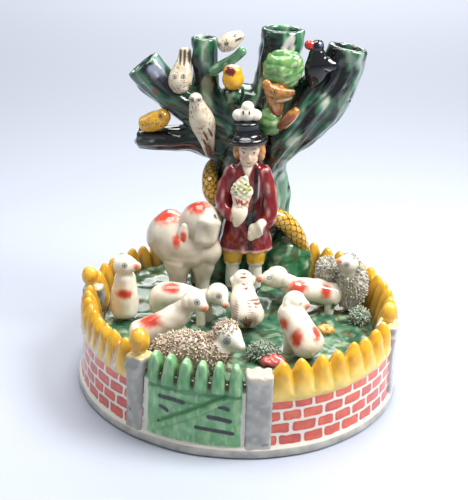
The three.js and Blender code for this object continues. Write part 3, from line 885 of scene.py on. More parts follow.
@dataclass
class Crest:
    """The yellow crest of the wall: blunt cones in a row that melt into a smooth band below."""

    tip_height: float = 53.4
    brick_top: float = 32.6
    start: float = 3.4
    stop: float = 327.2
    stretches: tuple[tuple[float, float, int, float, Teeth], ...] = (
        (11.0, 68.5, 8, 46.4, Teeth.FINIAL),
        (77.5, 150.0, 11, 46.4, Teeth.FINIAL),
        (158.0, 208.0, 7, 46.0, Teeth.HIDDEN),
        (216.0, 260.0, 7, 46.0, Teeth.FINIAL),
        (268.0, 319.5, 9, 47.0, Teeth.FINIAL),
    )

    def build(self) -> None:
        """Sweeps an upright section round the wall; height and swell follow each tooth.

        A tooth's place x runs from -1 to 1. Its height is valley + (tip - valley)(1 - e(x)), where e is
        |x| rounded at the tip and raised to 1.7, and its faces swell by 1 - x^2, less and less further down.
        """
        azimuth = np.arange(self.start, self.stop, 0.44)
        height = np.full(len(azimuth), 43.0)
        swell = np.full(len(azimuth), -0.6)
        place = np.ones(len(azimuth))
        for start, stop, teeth, valley, cut in self.stretches:
            inside = (azimuth >= start) & (azimuth <= stop)
            beat = (azimuth[inside] - start) / (stop - start) * teeth
            x = 2 * (beat - np.floor(beat)) - 1
            tall = self.tip_height - (3.0 if cut is Teeth.HIDDEN else 0.0)
            count = np.floor(beat)
            jitter = 0.5 * np.sin(count * 2.4 + start) + 0.25 * np.sin(count * 5.1)
            lean = x + 0.12 * np.sin(count * 3.3 + start) * (1 - x * x)
            fall = ((lean * lean + 0.06) ** 0.85 - 0.06**0.85) / (1.06**0.85 - 0.06**0.85)
            height[inside] = valley + (tall + jitter - valley) * (1 - fall)
            swell[inside] = 1 - lean * lean - 0.5
            place[inside] = abs(lean)
        low = np.full(len(azimuth), self.brick_top)
        middle = np.maximum(height - 10, self.brick_top + 4)
        section = [
            (90.6 + 0 * swell, low - 2.0),
            (91.8 + 0 * swell, low + 0.2),
            (92.1 + 0.25 * swell, low + 2.6),
            (91.5 + 0.75 * swell, middle),
            (90.0 + 1.1 * swell, height - 3.4),
            (87.3 + 0.3 * swell, height),
            (84.6 - 0.7 * swell, height - 3.2),
            (82.4 - 1.0 * swell, middle),
            (80.6 - 0.5 * swell, low + 1),
            (79.6 + 0 * swell, 27.0 + 0 * swell),
        ]
        knots = np.stack([np.stack(pair, -1) for pair in section])
        rows = 42
        curve = catmull(knots.reshape(len(section), -1), np.linspace(0, 1, rows)).reshape(rows, -1, 2)
        points = polar(azimuth[None], curve[..., 0], curve[..., 1])
        drift = 0.22 * cloud(points, 11.0, 7) + 0.08 * cloud(points, 4.0, 8)
        points = polar(azimuth[None], curve[..., 0] + drift, curve[..., 1] + 0.5 * drift)
        crest = Piece("crest", Shell.grid(points[:, ::-1], wrap=False))
        crest.mesh.flip_normals()
        self.paint(crest, place[::-1], rows)

    def paint(self, crest: Piece, place: Array, rows: int) -> None:
        """Brushes the cones gold, clouded amber near the tips and paler low down, with painted shade: amber towards the
        valleys and browner inner faces.
        """
        brush = Brush(crest, "#E5B02C")
        spots = brush.places
        side = np.tile(place, rows)
        radius = np.hypot(spots[:, 0], spots[:, 1])
        azimuth = np.degrees(np.arctan2(spots[:, 0], -spots[:, 1]))
        inside = smooth_step(radius, 87.2, 85.2)
        outside = 1 - inside
        high = smooth_step(spots[:, 2], 40.0, 47.0)
        mist, fleck = cloud(spots, 11.0, 21), cloud(spots, 4.5, 23)
        brush.lay(0.6 * smooth_step(mist, -0.1, 0.9) * high, "#D6971A")
        brush.lay(0.85 * smooth_step(spots[:, 2] + 2 * mist, 44.0, 36.0) * outside, "#F0CF6C")
        # Amber down each tooth's sides into the valleys: painted shade.
        brush.lay(0.5 * smooth_step(side + 0.2 * fleck, 0.5, 1.0) * outside * high, "#C0841C")
        brush.lay(0.25 * smooth_step(fleck, 0.3, 0.9) * high, "#B4761A")
        # Browner inner faces, more so low down, and dark brown in their valleys: painted shade.
        brush.lay(inside * (0.5 + 0.35 * (1 - high)), "#B88722")
        brush.lay(inside * smooth_step(side, 0.45, 0.95) * 0.75, "#6B4A1A")
        left = smooth_step(azimuth, -38.0, -46.0) * smooth_step(-azimuth, 112.0, 98.0) * outside
        limit = 0.93 - 0.036 * (46.5 - spots[:, 2]).clip(0)
        gap = smooth_step(side + 0.08 * fleck - limit, -0.05, 0.12)
        brush.lay(left * gap * smooth_step(spots[:, 2], 49.0, 46.0), "#DFCDBA")
        brush.lay(left * smooth_step(abs(side - limit), 0.1, 0.02) * smooth_step(spots[:, 2], 49, 45) * 0.55, "#9A6420")
        brush.done()
        crest.finish(GlazedPearlware(name="finial_glaze", clouding=0.1, roughness=0.1).material())


@dataclass
class Gateposts:
    """The six square posts of the fold, grey with a moulded band; three still carry a yellow ball."""

    posts: tuple[tuple[float, float, float, bool, str], ...] = (
        (7.0, 7.0, 0.0, False, "#AFADA8"),
        (72.4, 6.6, 4.6, True, "#B9BABD"),
        (154.0, 5.0, 0.0, True, "#B4B5B7"),
        (212.0, 5.0, 0.0, True, "#B4B5B7"),
        (264.0, 5.0, 4.8, True, "#9FA0A4"),
        (324.0, 5.7, 5.5, True, "#A19E96"),
    )
    outer: float = 93.2
    inner: float = 81.5
    top: float = 48.0

    def shaft(self, azimuth: float, half: float, banded: bool) -> Shell:
        """A squared column: rings x^p + y^p = 1 with p near 7, wider at the foot and at the band."""
        steps = [(4.6, 0.9), (5.6, 0.7), (7.0, 0.2), (20.0, 0.0), (self.top - 9.5, 0.0)]
        if banded:
            steps += [(self.top - 9.0, 0.8), (self.top - 7.6, 1.0), (self.top - 6.2, 0.8), (self.top - 5.6, 0.1)]
        steps += [(self.top - 1.6, 0.1), (self.top - 0.5, -0.4), (self.top, -1.3)]
        angle = np.linspace(0, 2 * math.pi, 48, endpoint=False)
        bend = 2 / 7
        side = np.sign(np.cos(angle)) * abs(np.cos(angle)) ** bend
        front = np.sign(np.sin(angle)) * abs(np.sin(angle)) ** bend
        middle, deep = (self.outer + self.inner) / 2, (self.outer - self.inner) / 2
        knots = np.array(steps)
        levels = np.concatenate([np.linspace(knots[k, 0], knots[k + 1, 0], 5)[:-1] for k in range(len(steps) - 1)])
        grow = np.interp(levels, knots[:, 0], knots[:, 1])[:, None]
        out = middle + (deep + grow * 0.8) * front
        along = (half + grow) * side
        turn = math.radians(azimuth)
        rings = np.stack(
            [
                out * math.sin(turn) + along * math.cos(turn),
                -out * math.cos(turn) + along * math.sin(turn),
                np.broadcast_to(levels[:, None], out.shape),
            ],
            -1,
        )
        return Shell.tube(rings, rings[0].mean(0), rings[-1].mean(0) + [0, 0, 0.3])

    def build(self) -> None:
        """Makes and paints each post."""
        for index, (azimuth, half, knob, banded, grey) in enumerate(self.posts):
            shells = [self.shaft(azimuth, half, banded)]
            head = polar(azimuth, 89.4 if index == 4 else 87.6, self.top + knob * 1.27)
            if knob:
                shells.append(ball(head, (knob, knob, knob * 1.3), sides=36, rows=24))
            post = Piece(f"post_{index}", Shell.joined(shells)).fuse(0.8, 3)
            if index == 0:
                self.break_top(post)
            brush = Brush(post, grey)
            brush.lay(0.6 * smooth_step(cloud(brush.places, 12.0, 31 + index), -0.1, 0.9), "#8D8C88")
            brush.lay(0.5 * smooth_step(cloud(brush.places, 6.0, 41 + index), 0.1, 1.0), "#C6C4BC")
            # Darker in the hollows: pooled glaze and painted shade.
            brush.pool("#6E6D68", 0.25, 0.6)
            if knob:
                up = brush.places[:, 2] + 0.6 * cloud(brush.places, 5.0, 51)
                brush.lay(smooth_step(up, self.top - 1.8, self.top + 0.2), "#E6CD8C")
                brush.lay(smooth_step(up, self.top + 0.4, self.top + 3.4), YELLOW)
                left = smooth_step(cloud(brush.places - [3, 0, 0], 9.0, 52 + index), -0.3, 0.7)
                brush.lay(0.8 * left * smooth_step(up, self.top + 1.5, self.top + 4.0), "#D08E1E")
            if index == 0:
                brush.lay(0.9 * smooth_step(brush.places[:, 2] + 1.5 * cloud(brush.places, 4.0, 9), 44.5, 46.5), "#C9C0AE")
                brush.patch(polar(11.6, 93.6, 33.0), 2.2, "#6C6E78", 0.9)
                brush.patch(polar(9.0, 93.8, 8.0), (3.0, 2.0, 1.4), "#70727C", 0.9)
            if index == 5:
                brush.patch(polar(-37.4, 93.4, 16.0), (1.0, 1.0, 1.7), "#55565C", 0.7)
            brush.done()
            post.finish(GlazedPearlware(name=f"stone_glaze_{index}", roughness=0.2, clouding=0.1).material())

    def break_top(self, post: Piece) -> None:
        """Roughens the right gatepost's head, which lost its ball: the top drops by a coarse noise."""
        places = post.points()
        high = smooth_step(places[:, 2], 43.0, 46.5)
        rough = 0.6 * cloud(places, 5.0, 5) + 0.22 * cloud(places, 2.2, 6) - 0.3
        post.move(places + (high * rough)[:, None] * np.array([0.2, -0.2, 1.0]))


@dataclass
class Gate:
    """The green gate: six palings that flare into a framed panel, a raised brace and dark brush strokes."""

    start: float = -32.0
    stop: float = 2.6
    tip_height: float = 53.0
    valley: float = 42.6
    palings: int = 6

    def build(self) -> None:
        """Wraps one sheet from the gate's foot over the palings' tips and down the inner face.

        A column's height is valley + (tip - valley)(1 - |x / 0.8|^3.2), and the valley past 0.8, with x
        from -1 to 1 across a paling.
        """
        azimuth = np.linspace(self.start, self.stop, 190)
        beat = (azimuth - self.start - 0.5) / (self.stop - self.start - 1.0) * self.palings
        x = 2 * (beat - np.floor(beat)) - 1
        x[(beat < 0) | (beat >= self.palings)] = 1.0
        fall = np.minimum(abs(x / 0.8) ** 3.2, 1.0)
        top = self.valley + (self.tip_height - self.valley + 0.4 * np.sin(np.floor(beat) * 2.1)) * (1 - fall)
        up = np.linspace(0, 1, 120)[:, None]
        height = 3.4 + (top - 1.6 - 3.4) * up
        across = np.broadcast_to(azimuth, height.shape)
        outer = 93.5 - 0.045 * height + self.relief(across, height, np.broadcast_to(x, height.shape))
        swell = 1 - x * x
        cap = np.stack([np.stack(pair, -1) for pair in (
            (outer[-1], top - 1.6), (outer[-1] - 1.0, top - 0.5), (0 * x + 87.6 + 0.3 * swell, top),
            (85.6 - 0.4 * swell, top - 1.4), (84.2 - 1.1 * swell, top - 4.5),
            (82.6 - 0.9 * swell, np.maximum(top - 10, 34.0)), (80.4 + 0 * x, 29.0 + 0 * x))])
        rows = 32
        over = catmull(cap.reshape(7, -1), np.linspace(0, 1, rows)).reshape(rows, -1, 2)
        points = np.concatenate(
            [polar(across, outer, height), polar(azimuth[None], over[1:, :, 0], over[1:, :, 1])]
        )
        gate = Piece("gate", Shell.grid(points, wrap=False))
        brush = Brush(gate, "#76AE76")
        side = np.tile(azimuth, len(points))
        self.paint(brush, side, brush.places[:, 2], np.tile(x, len(points)))
        brush.done()
        gate.finish(GlazedPearlware(name="gate_glaze", roughness=0.09, clouding=0.16, cloud_mm=4.0).material())

    def brace_line(self, across: Array) -> Array:
        """The brace's height at an azimuth: it climbs from low on the left to high on the right."""
        return 22.3 + (across + 16.1) * 0.95

    def relief(self, across: Array, up: Array, x: Array) -> Array:
        """How far the gate stands out: a frame, the brace and palings that flare into the panel."""
        left = smooth_step(across, self.start + 1.0, self.start + 3.2)
        right = smooth_step(across, self.stop - 0.8, self.stop - 2.4)
        foot = smooth_step(up, 5.0, 7.4)
        high = smooth_step(up, 33.0, 44.0)
        paling = 1.5 * high * np.cos(0.5 * math.pi * np.minimum(abs(x) / 0.8, 1)) - 1.0 * high
        ledge = 0.9 * smooth_step(up, 36.0, 37.6) * smooth_step(up, 44.0, 39.0)
        gap = up - self.brace_line(across)
        brace = 1.2 * smooth_step(abs(gap), 3.0, 0.8) * smooth_step(across, -28.4, -26.6) * smooth_step(up, 38.0, 36.0)
        places = polar(across, 92.0, up)
        return (0.6 * foot + paling + ledge + brace + 0.14 * cloud(places, 9.0, 60)) * left * right - 0.4

    def paint(self, brush: Brush, side: Array, high: Array, x: Array) -> None:
        """Clouds light and dark greens, lays dark green along the brace and under the edges as pooled glaze and painted
        shade, paints shade between the palings and on the inner face, and leaves a cream border.
        """
        places = brush.places
        radius = np.hypot(places[:, 0], places[:, 1])
        outside = smooth_step(radius, 85.5, 88.0)
        wave, fleck = cloud(places, 8.0, 61), cloud(places, 4.0, 64)
        brush.lay(0.65 * smooth_step(wave, -0.2, 0.9), "#95C795")
        brush.lay(0.45 * smooth_step(cloud(places, 10.0, 62), 0.0, 0.9), "#4F9D5C")
        brush.lay(0.5 * smooth_step(cloud(places * [1, 1, 0.25], 3.6, 65), 0.3, 1.0), "#A9CF9A")
        brush.lay(0.5 * smooth_step(cloud(places * [1, 1, 0.25], 3.0, 66), 0.5, 1.0), "#5C9B66")
        gap = high - self.brace_line(side)
        in_panel = smooth_step(side, -28.0, -24.0) * smooth_step(high, 38.0, 36.0)
        # Dark green along the brace's upper edge: pooled glaze and painted shadow.
        brush.lay(0.85 * smooth_step(abs(gap - 3.0 + 0.2 * wave), 2.0, 0.6) * in_panel, "#267438")
        brush.lay(0.4 * smooth_step(abs(gap + 2.8), 1.3, 0.3) * in_panel, "#3F8C48")
        # Dark green just under the ledge: pooled glaze and painted shade.
        ledge = smooth_step(abs(high - 35.4 + 0.5 * fleck), 1.5, 0.5)
        brush.lay(0.9 * ledge * smooth_step(side, -16.5, -19.5), "#22702F")
        brush.lay(0.85 * smooth_step(abs(high - 35.9), 1.9, 0.5) * smooth_step(side, -13.5, -9.5), "#22702F")
        brush.lay(0.6 * smooth_step(abs(high - 29.6), 1.3, 0.4) * smooth_step(abs(side + 14.0), 5.0, 3.0), "#2F7F3F")
        # More dark green along the ledge line: pooled glaze and painted shade.
        brush.lay(0.45 * ledge, "#2F7F3F")
        # Dark green in the grooves between the palings and dark brown in the gaps near the top: painted shade.
        between_palings_shade = smooth_step(abs(x), 0.55, 0.9)
        brush.lay(0.85 * between_palings_shade * smooth_step(high, 33.5, 39.0) * outside, "#2C7A3D")
        brush.lay(0.95 * smooth_step(abs(x), 0.66, 0.84) * smooth_step(high, 37.5, 40.5), "#3E2417")
        brush.lay(0.7 * smooth_step(abs(x), 0.3, 0.0) * smooth_step(high, 47.0, 51.0), "#A9D6A8")
        # Dark olive over the inner face: painted shade.
        brush.lay((1 - outside) * 0.75, "#55642E")
        edge = np.minimum(side - self.start, self.stop - side) * math.radians(1) * 92
        sway = 0.35 * cloud(places, 6.0, 63)
        rim = smooth_step(edge + sway, np.where(side < -15, 3.2, 2.3), np.where(side < -15, 2.5, 1.6))
        brush.lay(rim * smooth_step(high, 38.5, 37.0), "#D8D8C6")
        brush.lay(smooth_step(high + sway, 7.4, 6.6), "#D8D8C6")
        brush.lay(smooth_step(high, 4.8, 4.2), "#A09F99")
        for path, width in self.strokes():
            brush.stroke(path, 1.25 * width, "#1A2224", 0.2, False)

    def strokes(self) -> list[tuple[Array, float]]:
        """The six dark strokes that stand for nails and hinges."""
        rows = (
            ((-25.6, 30.0), (-21.0, 30.0), (-17.6, 29.4), 2.1),
            ((-25.2, 24.3), (-23.9, 23.6), (-23.0, 22.8), 1.9),
            ((-25.9, 15.3), (-25.2, 14.7), (-24.7, 14.1), 1.5),
            ((-5.6, 29.8), (-3.9, 29.2), (-2.9, 28.5), 1.9),
            ((-8.9, 23.3), (-5.4, 22.8), (-2.3, 21.8), 2.1),
            ((-13.0, 16.5), (-7.0, 15.9), (-1.3, 14.7), 1.9),
        )
        found = []
        for *spots, width in rows:
            place = np.array(spots)
            found.append((polar(place[:, 0], 92.6, place[:, 1]), width))
        return found


@dataclass
class Green:
    """The ground inside the fold: a thick glossy pool of mottled green glaze with a mound behind."""

    radius: float = 80.2
    level: float = 30.2

    def height(self, x: Array, y: Array) -> Array:
        """The ground's height: a rise at the back, a slow roll and a fine lumpiness."""
        knoll = 10 * smooth_step(y, 8.0, 30.0) * (1 - smooth_step(x, 20.0, 44.0))
        roll = 0.7 * np.sin(0.21 * x) * np.cos(0.17 * y)
        flat = np.stack(np.broadcast_arrays(x, y, 0 * x), -1)
        return self.level + knoll + roll + 0.45 * cloud(flat, 14.0, 71) + 0.05 * cloud(flat, 6.0, 72)

    def build(self) -> None:
        """Lays a polar grid over the ground and adds the mound by the trunk."""
        azimuth = np.linspace(0, 360, 330, endpoint=False)
        radius = np.linspace(1.2, self.radius, 66)
        x = radius[:, None] * np.sin(np.radians(azimuth))
        y = -radius[:, None] * np.cos(np.radians(azimuth))
        points = np.stack([x, y, self.height(x, y)], -1)
        middle = points[0].mean(0)
        low = points[-1] * [1, 1, 0] + [0, 0, self.level - 3.2]
        rings = np.concatenate([points, low[None]])
        ground = Piece("green", Shell.tube(rings, middle, low.mean(0)))
        ground.mesh.flip_normals()
        brush = Brush(ground, "#43705A")
        self.mottle(brush)
        brush.done()
        ground.finish(GreenGlaze().material())
        mound = Piece("mound", Shell.joined([ball((29, 51, 46), (16.6, 16.4, 26.2), sides=44, rows=30),
                                             ball((-16, 54.5, 41), (17.6, 13.4, 16), sides=40, rows=26)]))
        mound.fuse(0.96, 4)
        places = mound.points()
        mound.move(places + mound.normals() * (0.7 * cloud(places, 10.0, 73) - 0.5)[:, None])
        brush = Brush(mound, "#2C6F48")
        self.mottle(brush)
        brush.done()
        mound.finish(GreenGlaze().material())

    def mottle(self, brush: Brush) -> None:
        """Clouds light and dark greens broadly, with a few brown spots, as thick glaze settles."""
        places = brush.places
        brush.lay(0.85 * smooth_step(cloud(places, 20.0, 81), -0.3, 0.8), "#7F9C84")
        brush.lay(0.8 * smooth_step(cloud(places, 13.0, 82), 0.1, 0.8), "#2B5640")
        brush.lay(0.7 * smooth_step(cloud(places, 9.0, 83), 0.4, 1.1), "#AEBDA2")
        brush.lay(0.75 * smooth_step(cloud(places, 8.0, 84), 0.75, 1.1), "#5C4028")
        # Darker in the hollows: pooled glaze and painted shade.
        brush.pool("#1B4F30", 0.25, 0.6)


@dataclass(frozen=True)
class GreenGlaze:
    """Copper-green glaze run over clay: a wet pool, mottled light and dark, nearly mirror-smooth."""

    name: str = "copper_green_glaze"
    roughness: float = 0.17
    mottle_mm: float = 7.0

    def material(self) -> bpy.types.Material:
        """Mixes the painted colour with darker and lighter noise and a slow ripple."""
        made, tree, shader = new_material(self.name)
        place = add(tree, "ShaderNodeTexCoord").outputs["Object"]
        paint = add(tree, "ShaderNodeAttribute", attribute_name="paint").outputs["Color"]
        noise = add(tree, "ShaderNodeTexNoise", {"Vector": place, "Scale": 1 / (self.mottle_mm * MM), "Detail": 2.5,
                                                 "Distortion": 0.8})
        shade = add(tree, "ShaderNodeValToRGB", {"Fac": noise.outputs["Fac"]},
                    stops=((0.3, "#B4C2B4"), (0.5, "#F2F6F0"), (0.7, "#DCE6D4")))
        tint = add(tree, "ShaderNodeMix", {"Factor": 1.0, 6: paint, 7: shade.outputs["Color"]}, data_type="RGBA",
                   blend_type="MULTIPLY")
        tree.links.new(tint.outputs[2], shader.inputs["Base Color"])
        swim = add(tree, "ShaderNodeTexNoise", {"Vector": place, "Scale": 1 / (12.0 * MM), "Detail": 0.5})
        bump = add(tree, "ShaderNodeBump", {"Strength": 0.7, "Distance": 0.16 * MM, "Height": swim.outputs["Fac"]})
        tree.links.new(bump.outputs["Normal"], shader.inputs["Normal"])
        shader.inputs["Roughness"].default_value = self.roughness
        shader.inputs["IOR"].default_value = 1.54
        shader.inputs["Coat Weight"].default_value = 0.3
        shader.inputs["Coat Roughness"].default_value = 0.12
        return made


@dataclass
class Branch:
    """One limb of the tree: its stops, its mouth if it is a spill holder, and the glazes run down it.

    The glazes go from dark to light along a streaky field: each has the field's value where it is pure.
    """

    stops: Stops
    glazes: tuple[tuple[float, str], ...]
    hint: tuple[float, float, float] = (0.0, 1.0, 0.0)
    bore: float = 0.0
    depth: float = 0.0
    lean: tuple[float, float, float] = (0.0, 0.0, 1.0)
    seed: int = 1

    def shell(self) -> Shell:
        """The limb's skin, open-mouthed where spills go."""
        path = Path(self.stops, self.hint)
        return path.spout(self.bore, self.depth, self.lean, 56, 44) if self.bore else path.limb(48, 50, 0.2, 0.35)

    def near(self, places: Array) -> tuple[Array, Array]:
        """Finds where points lie on the limb.

        Args:
            places: Points in millimetres.

        Returns:
            The distance to the centre line in half-widths, and side, rise and length along as coordinates.
        """
        centre, heading, side, rise, size = Path(self.stops, self.hint).frames(np.linspace(0, 1, 60))
        square = (places**2).sum(1)[:, None] - 2 * places @ centre.T + (centre**2).sum(1)
        found = (np.sqrt(square.clip(0)) / size.mean(1)).argmin(1)
        away = places - centre[found]
        length = np.concatenate([[0], np.cumsum(np.linalg.norm(np.diff(centre, axis=0), axis=1))])[found]
        along = length + (away * heading[found]).sum(1)
        local = np.stack([(away * side[found]).sum(1), (away * rise[found]).sum(1), along], 1)
        return np.linalg.norm(away, axis=1) / size[found].mean(1), local

    def colours(self, local: Array) -> Array:
        """Reads the glazes off a streaky field: noise four times as long along the limb as across it."""
        broad = cloud(local * [1, 1, 0.3], 9.0, self.seed)
        fine = cloud(local * [1, 1, 0.4], 3.8, self.seed + 1)
        value = 0.8 * broad + 0.33 * fine
        table = np.array([linear(code)[:3] for _, code in self.glazes])
        at = np.array([place for place, _ in self.glazes])
        return np.stack([np.interp(value, at, table[:, k]) for k in range(3)], 1)


GREENS = ((-0.9, "#0E1413"), (-0.35, "#14241E"), (-0.05, "#1D4A36"), (0.35, "#2A6446"), (0.85, "#5C8E6C"), (1.35, "#B7C2A8"))
BLACKS = ((-0.4, "#0C0D12"), (0.35, "#15181C"), (0.6, "#1D4A35"), (0.85, "#5E9070"), (1.1, "#B9C0B4"))
DRIFTS = ((-0.8, "#0D1012"), (-0.15, "#15211D"), (0.05, "#3A3322"), (0.2, "#275B42"), (0.6, "#3E7558"), (1.0, "#7C9C84"), (1.4, "#B9C2B0"))


@dataclass
class HollowTree:
    """The tree: a fluted trunk, four stub branches that are spill holders and a closed low branch."""

    branches: tuple[Branch, ...] = (
        Branch([[6, 57, 28, 26, 16.6], [6, 56, 60, 23.2, 15.2], [6, 56, 92, 22.8, 14.2], [3, 55, 116, 22.2, 14.2],
                [3, 54, 140, 25.4, 12.9], [6, 53, 156, 19.6, 11.4]], GREENS, (1.0, 0.0, 0.0), seed=301),
        Branch([[12, 54, 140, 15.6, 11.6], [17, 53, 168, 14.2, 12.2], [20, 53, 193.2, 13.4, 12.8]], GREENS,
               bore=9.4, depth=38, lean=(0.04, 0, 1), seed=311),
        Branch([[11, 55, 106, 9.0, 9.0], [18, 54, 124, 13.0, 13.0], [36, 53, 145, 13.6, 17.4], [52, 53, 166, 11.6, 14.6],
                [58.5, 53, 183.8, 11.7, 11.7]], DRIFTS, bore=8.0, depth=30, lean=(0.17, 0, 1), seed=321),
        Branch([[-8, 54, 136, 11.6, 9.6], [-21, 53, 152, 9.2, 8.7], [-25, 53, 170, 7.8, 7.8],
                [-25.5, 53, 187.0, 8.0, 8.0]], GREENS, bore=4.7, depth=14, seed=331),
        Branch([[-8, 54, 134, 12.6, 12.6], [-31, 53, 147, 11.6, 12.6], [-49, 53, 158, 10.6, 10.6],
                [-60.5, 53, 170.5, 11.1, 11.1]], GREENS, bore=7.4, depth=26, lean=(-0.64, 0, 0.77), seed=341),
        Branch([[-12, 54, 122, 12, 11], [-30, 53.4, 127, 8.8, 8.2], [-42, 53, 126.6, 8.0, 7.8], [-56, 52, 126.6, 7.7, 7.7],
                [-63.6, 52, 127.0, 7.3, 7.3]], BLACKS, seed=351),
    )

    def build(self) -> None:
        """Fuses the limbs, flutes the bark along each limb and runs the glazes."""
        tree = Piece("hollow_tree", Shell.joined([branch.shell() for branch in self.branches])).fuse(1.1, 4)
        places, normals = tree.points(), tree.normals()
        found = [branch.near(places) for branch in self.branches]
        gaps = np.stack([gap for gap, _ in found], 1)
        nearest = gaps.argmin(1)
        share = np.exp(-5.0 * (gaps - gaps.min(1, keepdims=True)))
        share /= share.sum(1, keepdims=True)
        colour = sum(
            share[:, k : k + 1] * branch.colours(found[k][1]) for k, branch in enumerate(self.branches)
        )
        ridge = sum(share[:, k] * cloud(found[k][1] * [1, 1, 0.2], 7.0, 361 + k) for k in range(len(found)))
        mouth = np.ones(len(places))
        for branch in self.branches:
            if branch.bore:
                lip = np.array(branch.stops[-1][:3])
                away = (places - lip) @ (np.array(branch.lean) / np.linalg.norm(branch.lean))
                aside = np.linalg.norm(places - lip, axis=1)
                mouth *= 1 - smooth_step(away, -9.0, -3.0) * smooth_step(aside, 22.0, 17.0) * 0.8
        inward = (gaps[np.arange(len(places)), nearest] < 0.86) & (places[:, 2] > 150)
        push = (0.95 * ridge + 0.45 * cloud(places, 16.0, 92) - 0.55) * mouth * np.where(inward, 0.0, 1.0)
        tree.move(places + normals * push[:, None])
        brush = Brush(tree, BLACK)
        brush.colour = colour
        self.touch_up(brush, ridge)
        brush.done()
        finish = GlazedPearlware("running_bark_glaze", 0.055, 0.22, 5.0, 4.0, 0.09)
        tree.finish(finish.material())

    def touch_up(self, brush: Brush, ridge: Array) -> None:
        """Adds what the photograph shows in one place only: black patches, pale streaks and lilac edges."""
        n = brush.normals
        drift = cloud(brush.places, 6.0, 371)
        # Near-black in the grooves of the fluted bark: painted shade.
        brush.lay(0.5 * smooth_step(-ridge, 0.1, 0.8), "#0F1A17")
        # Grey-lilac on the undersides higher up: the lilac of thin glaze and a painted reflection of the pale floor.
        under = smooth_step(-n[:, 2], 0.25, 0.75) * smooth_step(drift, -0.8, 0.5)
        brush.lay(0.4 * under * smooth_step(brush.places[:, 2], 100.0, 118.0), "#8E98A6")
        for centre, halves, tone, strength in (
            ((12.0, 42, 181), (8.0, 16, 15), "#0E1114", 1.0),
            ((23.5, 42, 185), (3.6, 10, 8), "#D3CFC2", 0.9),
            ((30.5, 44, 186), (3.4, 12, 10), "#3C8258", 0.8),
            ((48.5, 38, 165), (6.0, 9, 11), "#0E1015", 0.95),
            ((38.0, 36, 150), (6.5, 9, 9), "#0E1015", 0.95),
            ((53.0, 44, 178), (4.0, 9, 9), "#0F1216", 0.9),
            ((66.0, 48, 172), (3.4, 12, 12), "#9DA6A6", 0.6),
            ((58.0, 42, 152), (3.6, 12, 12), "#8FA998", 0.6),
            ((44.0, 42, 139), (7.0, 12, 7), "#22603F", 0.7),
            ((-29.5, 44, 170), (3.6, 8, 9), "#101315", 0.9),
            ((-22.0, 44, 160), (3.6, 8, 7), "#8F8A6A", 0.6),
            ((-22.5, 45, 180), (3.4, 8, 7), "#2B6A48", 0.7),
            ((-52.0, 44, 170), (6.5, 9, 6.0), "#9298A8", 0.75),
            ((-47.0, 42, 163), (4.2, 8, 4.6), "#121417", 0.85),
            ((-54.0, 43, 157), (2.4, 8, 2.4), "#7A3A26", 0.8),
            ((-63.5, 47, 165), (6.0, 12, 7.0), "#4B7A5E", 0.6),
            ((-60.0, 50, 126), (8.0, 14, 9.0), "#15161C", 0.9),
            ((-21.0, 48, 112), (4.6, 12, 9), "#9AA3BA", 0.9),
            ((26.0, 46, 98), (7.0, 14, 24), "#86AE93", 0.75),
            ((24.0, 44, 112), (4.0, 10, 9), "#C0CBC6", 0.6),
            ((17.0, 42, 118), (2.6, 8, 3.0), "#6A4636", 0.7),
            ((22.0, 44, 128), (5.0, 9, 3.0), "#6A4A3A", 0.5),
            ((-10.0, 41, 104), (5.0, 9, 12), "#1C3A2C", 0.7),
            ((-30.0, 42, 146), (7.0, 9, 7), "#1B4A35", 0.7),
        ):
            away = (brush.places - np.array(centre)) / np.array(halves)
            reach = np.linalg.norm(away, axis=1) + 0.35 * drift
            brush.lay(strength * smooth_step(reach, 1.1, 0.6), tone)
        # Darker in the hollows: pooled glaze and painted shade.
        brush.pool("#0F1A16", 0.35, 0.6)


@dataclass
class Snake:
    """The yellow snake wound round the trunk, its scales drawn as fine dark arcs."""

    stops: Stops = (
        (-14, 66, 112, 3.8),
        (-19.4, 54, 108.5, 4.4),
        (-20, 44.5, 103, 5.0),
        (-17.6, 39.6, 96, 5.2),
        (-7, 38.8, 90.6, 5.2),
        (15, 40.6, 84.6, 5.4),
        (26, 42.4, 79.6, 5.6),
        (34.4, 44, 70, 4.9),
        (40.5, 48, 58, 3.0),
    )

    def build(self) -> None:
        """Sweeps the body and paints scales from the grid's own two numbers."""
        count, sides = 380, 52
        path = Path(self.stops)
        shell = path.limb(sides, count, 0.9, 0.9)
        snake = Piece("snake", shell)
        brush = Brush(snake, "#E0AE3E")
        length = np.linalg.norm(np.diff(path.frames(np.linspace(0, 1, 400))[0], axis=0), axis=1).sum()
        row = np.concatenate([np.repeat(np.arange(count + 10), sides), [0, count + 9]]).astype(float)
        column = np.concatenate([np.tile(np.arange(sides), count + 10), [0, 0]]).astype(float)
        scales = self.scales(row / count * length / 3.1, column / sides * 8)
        brush.lay(0.6 * smooth_step(cloud(brush.places, 8.0, 111), -0.2, 0.8), "#EBCB6C")
        brush.lay(0.4 * smooth_step(cloud(brush.places, 6.0, 112), 0.1, 0.9), "#C98F2E")
        brush.lay(scales * 0.9, "#2A2018")
        brush.done()
        snake.finish(GlazedPearlware(name="snake_glaze", roughness=0.09, clouding=0.12).material())

    def scales(self, along: Array, around: Array) -> Array:
        """Rows of overlapping arcs, like fish scales, as a cover from 0 to 1."""
        cover = np.zeros(len(along))
        for shift in (0.0, 1.0):
            a = along / 2 + shift / 2
            b = around + shift / 2
            u, v = a - np.floor(a), b - np.floor(b) - 0.5
            reach = np.hypot(u * 1.05, v * 1.25)
            cover = np.maximum(cover, smooth_step(abs(reach - 0.58), 0.1, 0.04) * (u < 0.66))
        return cover


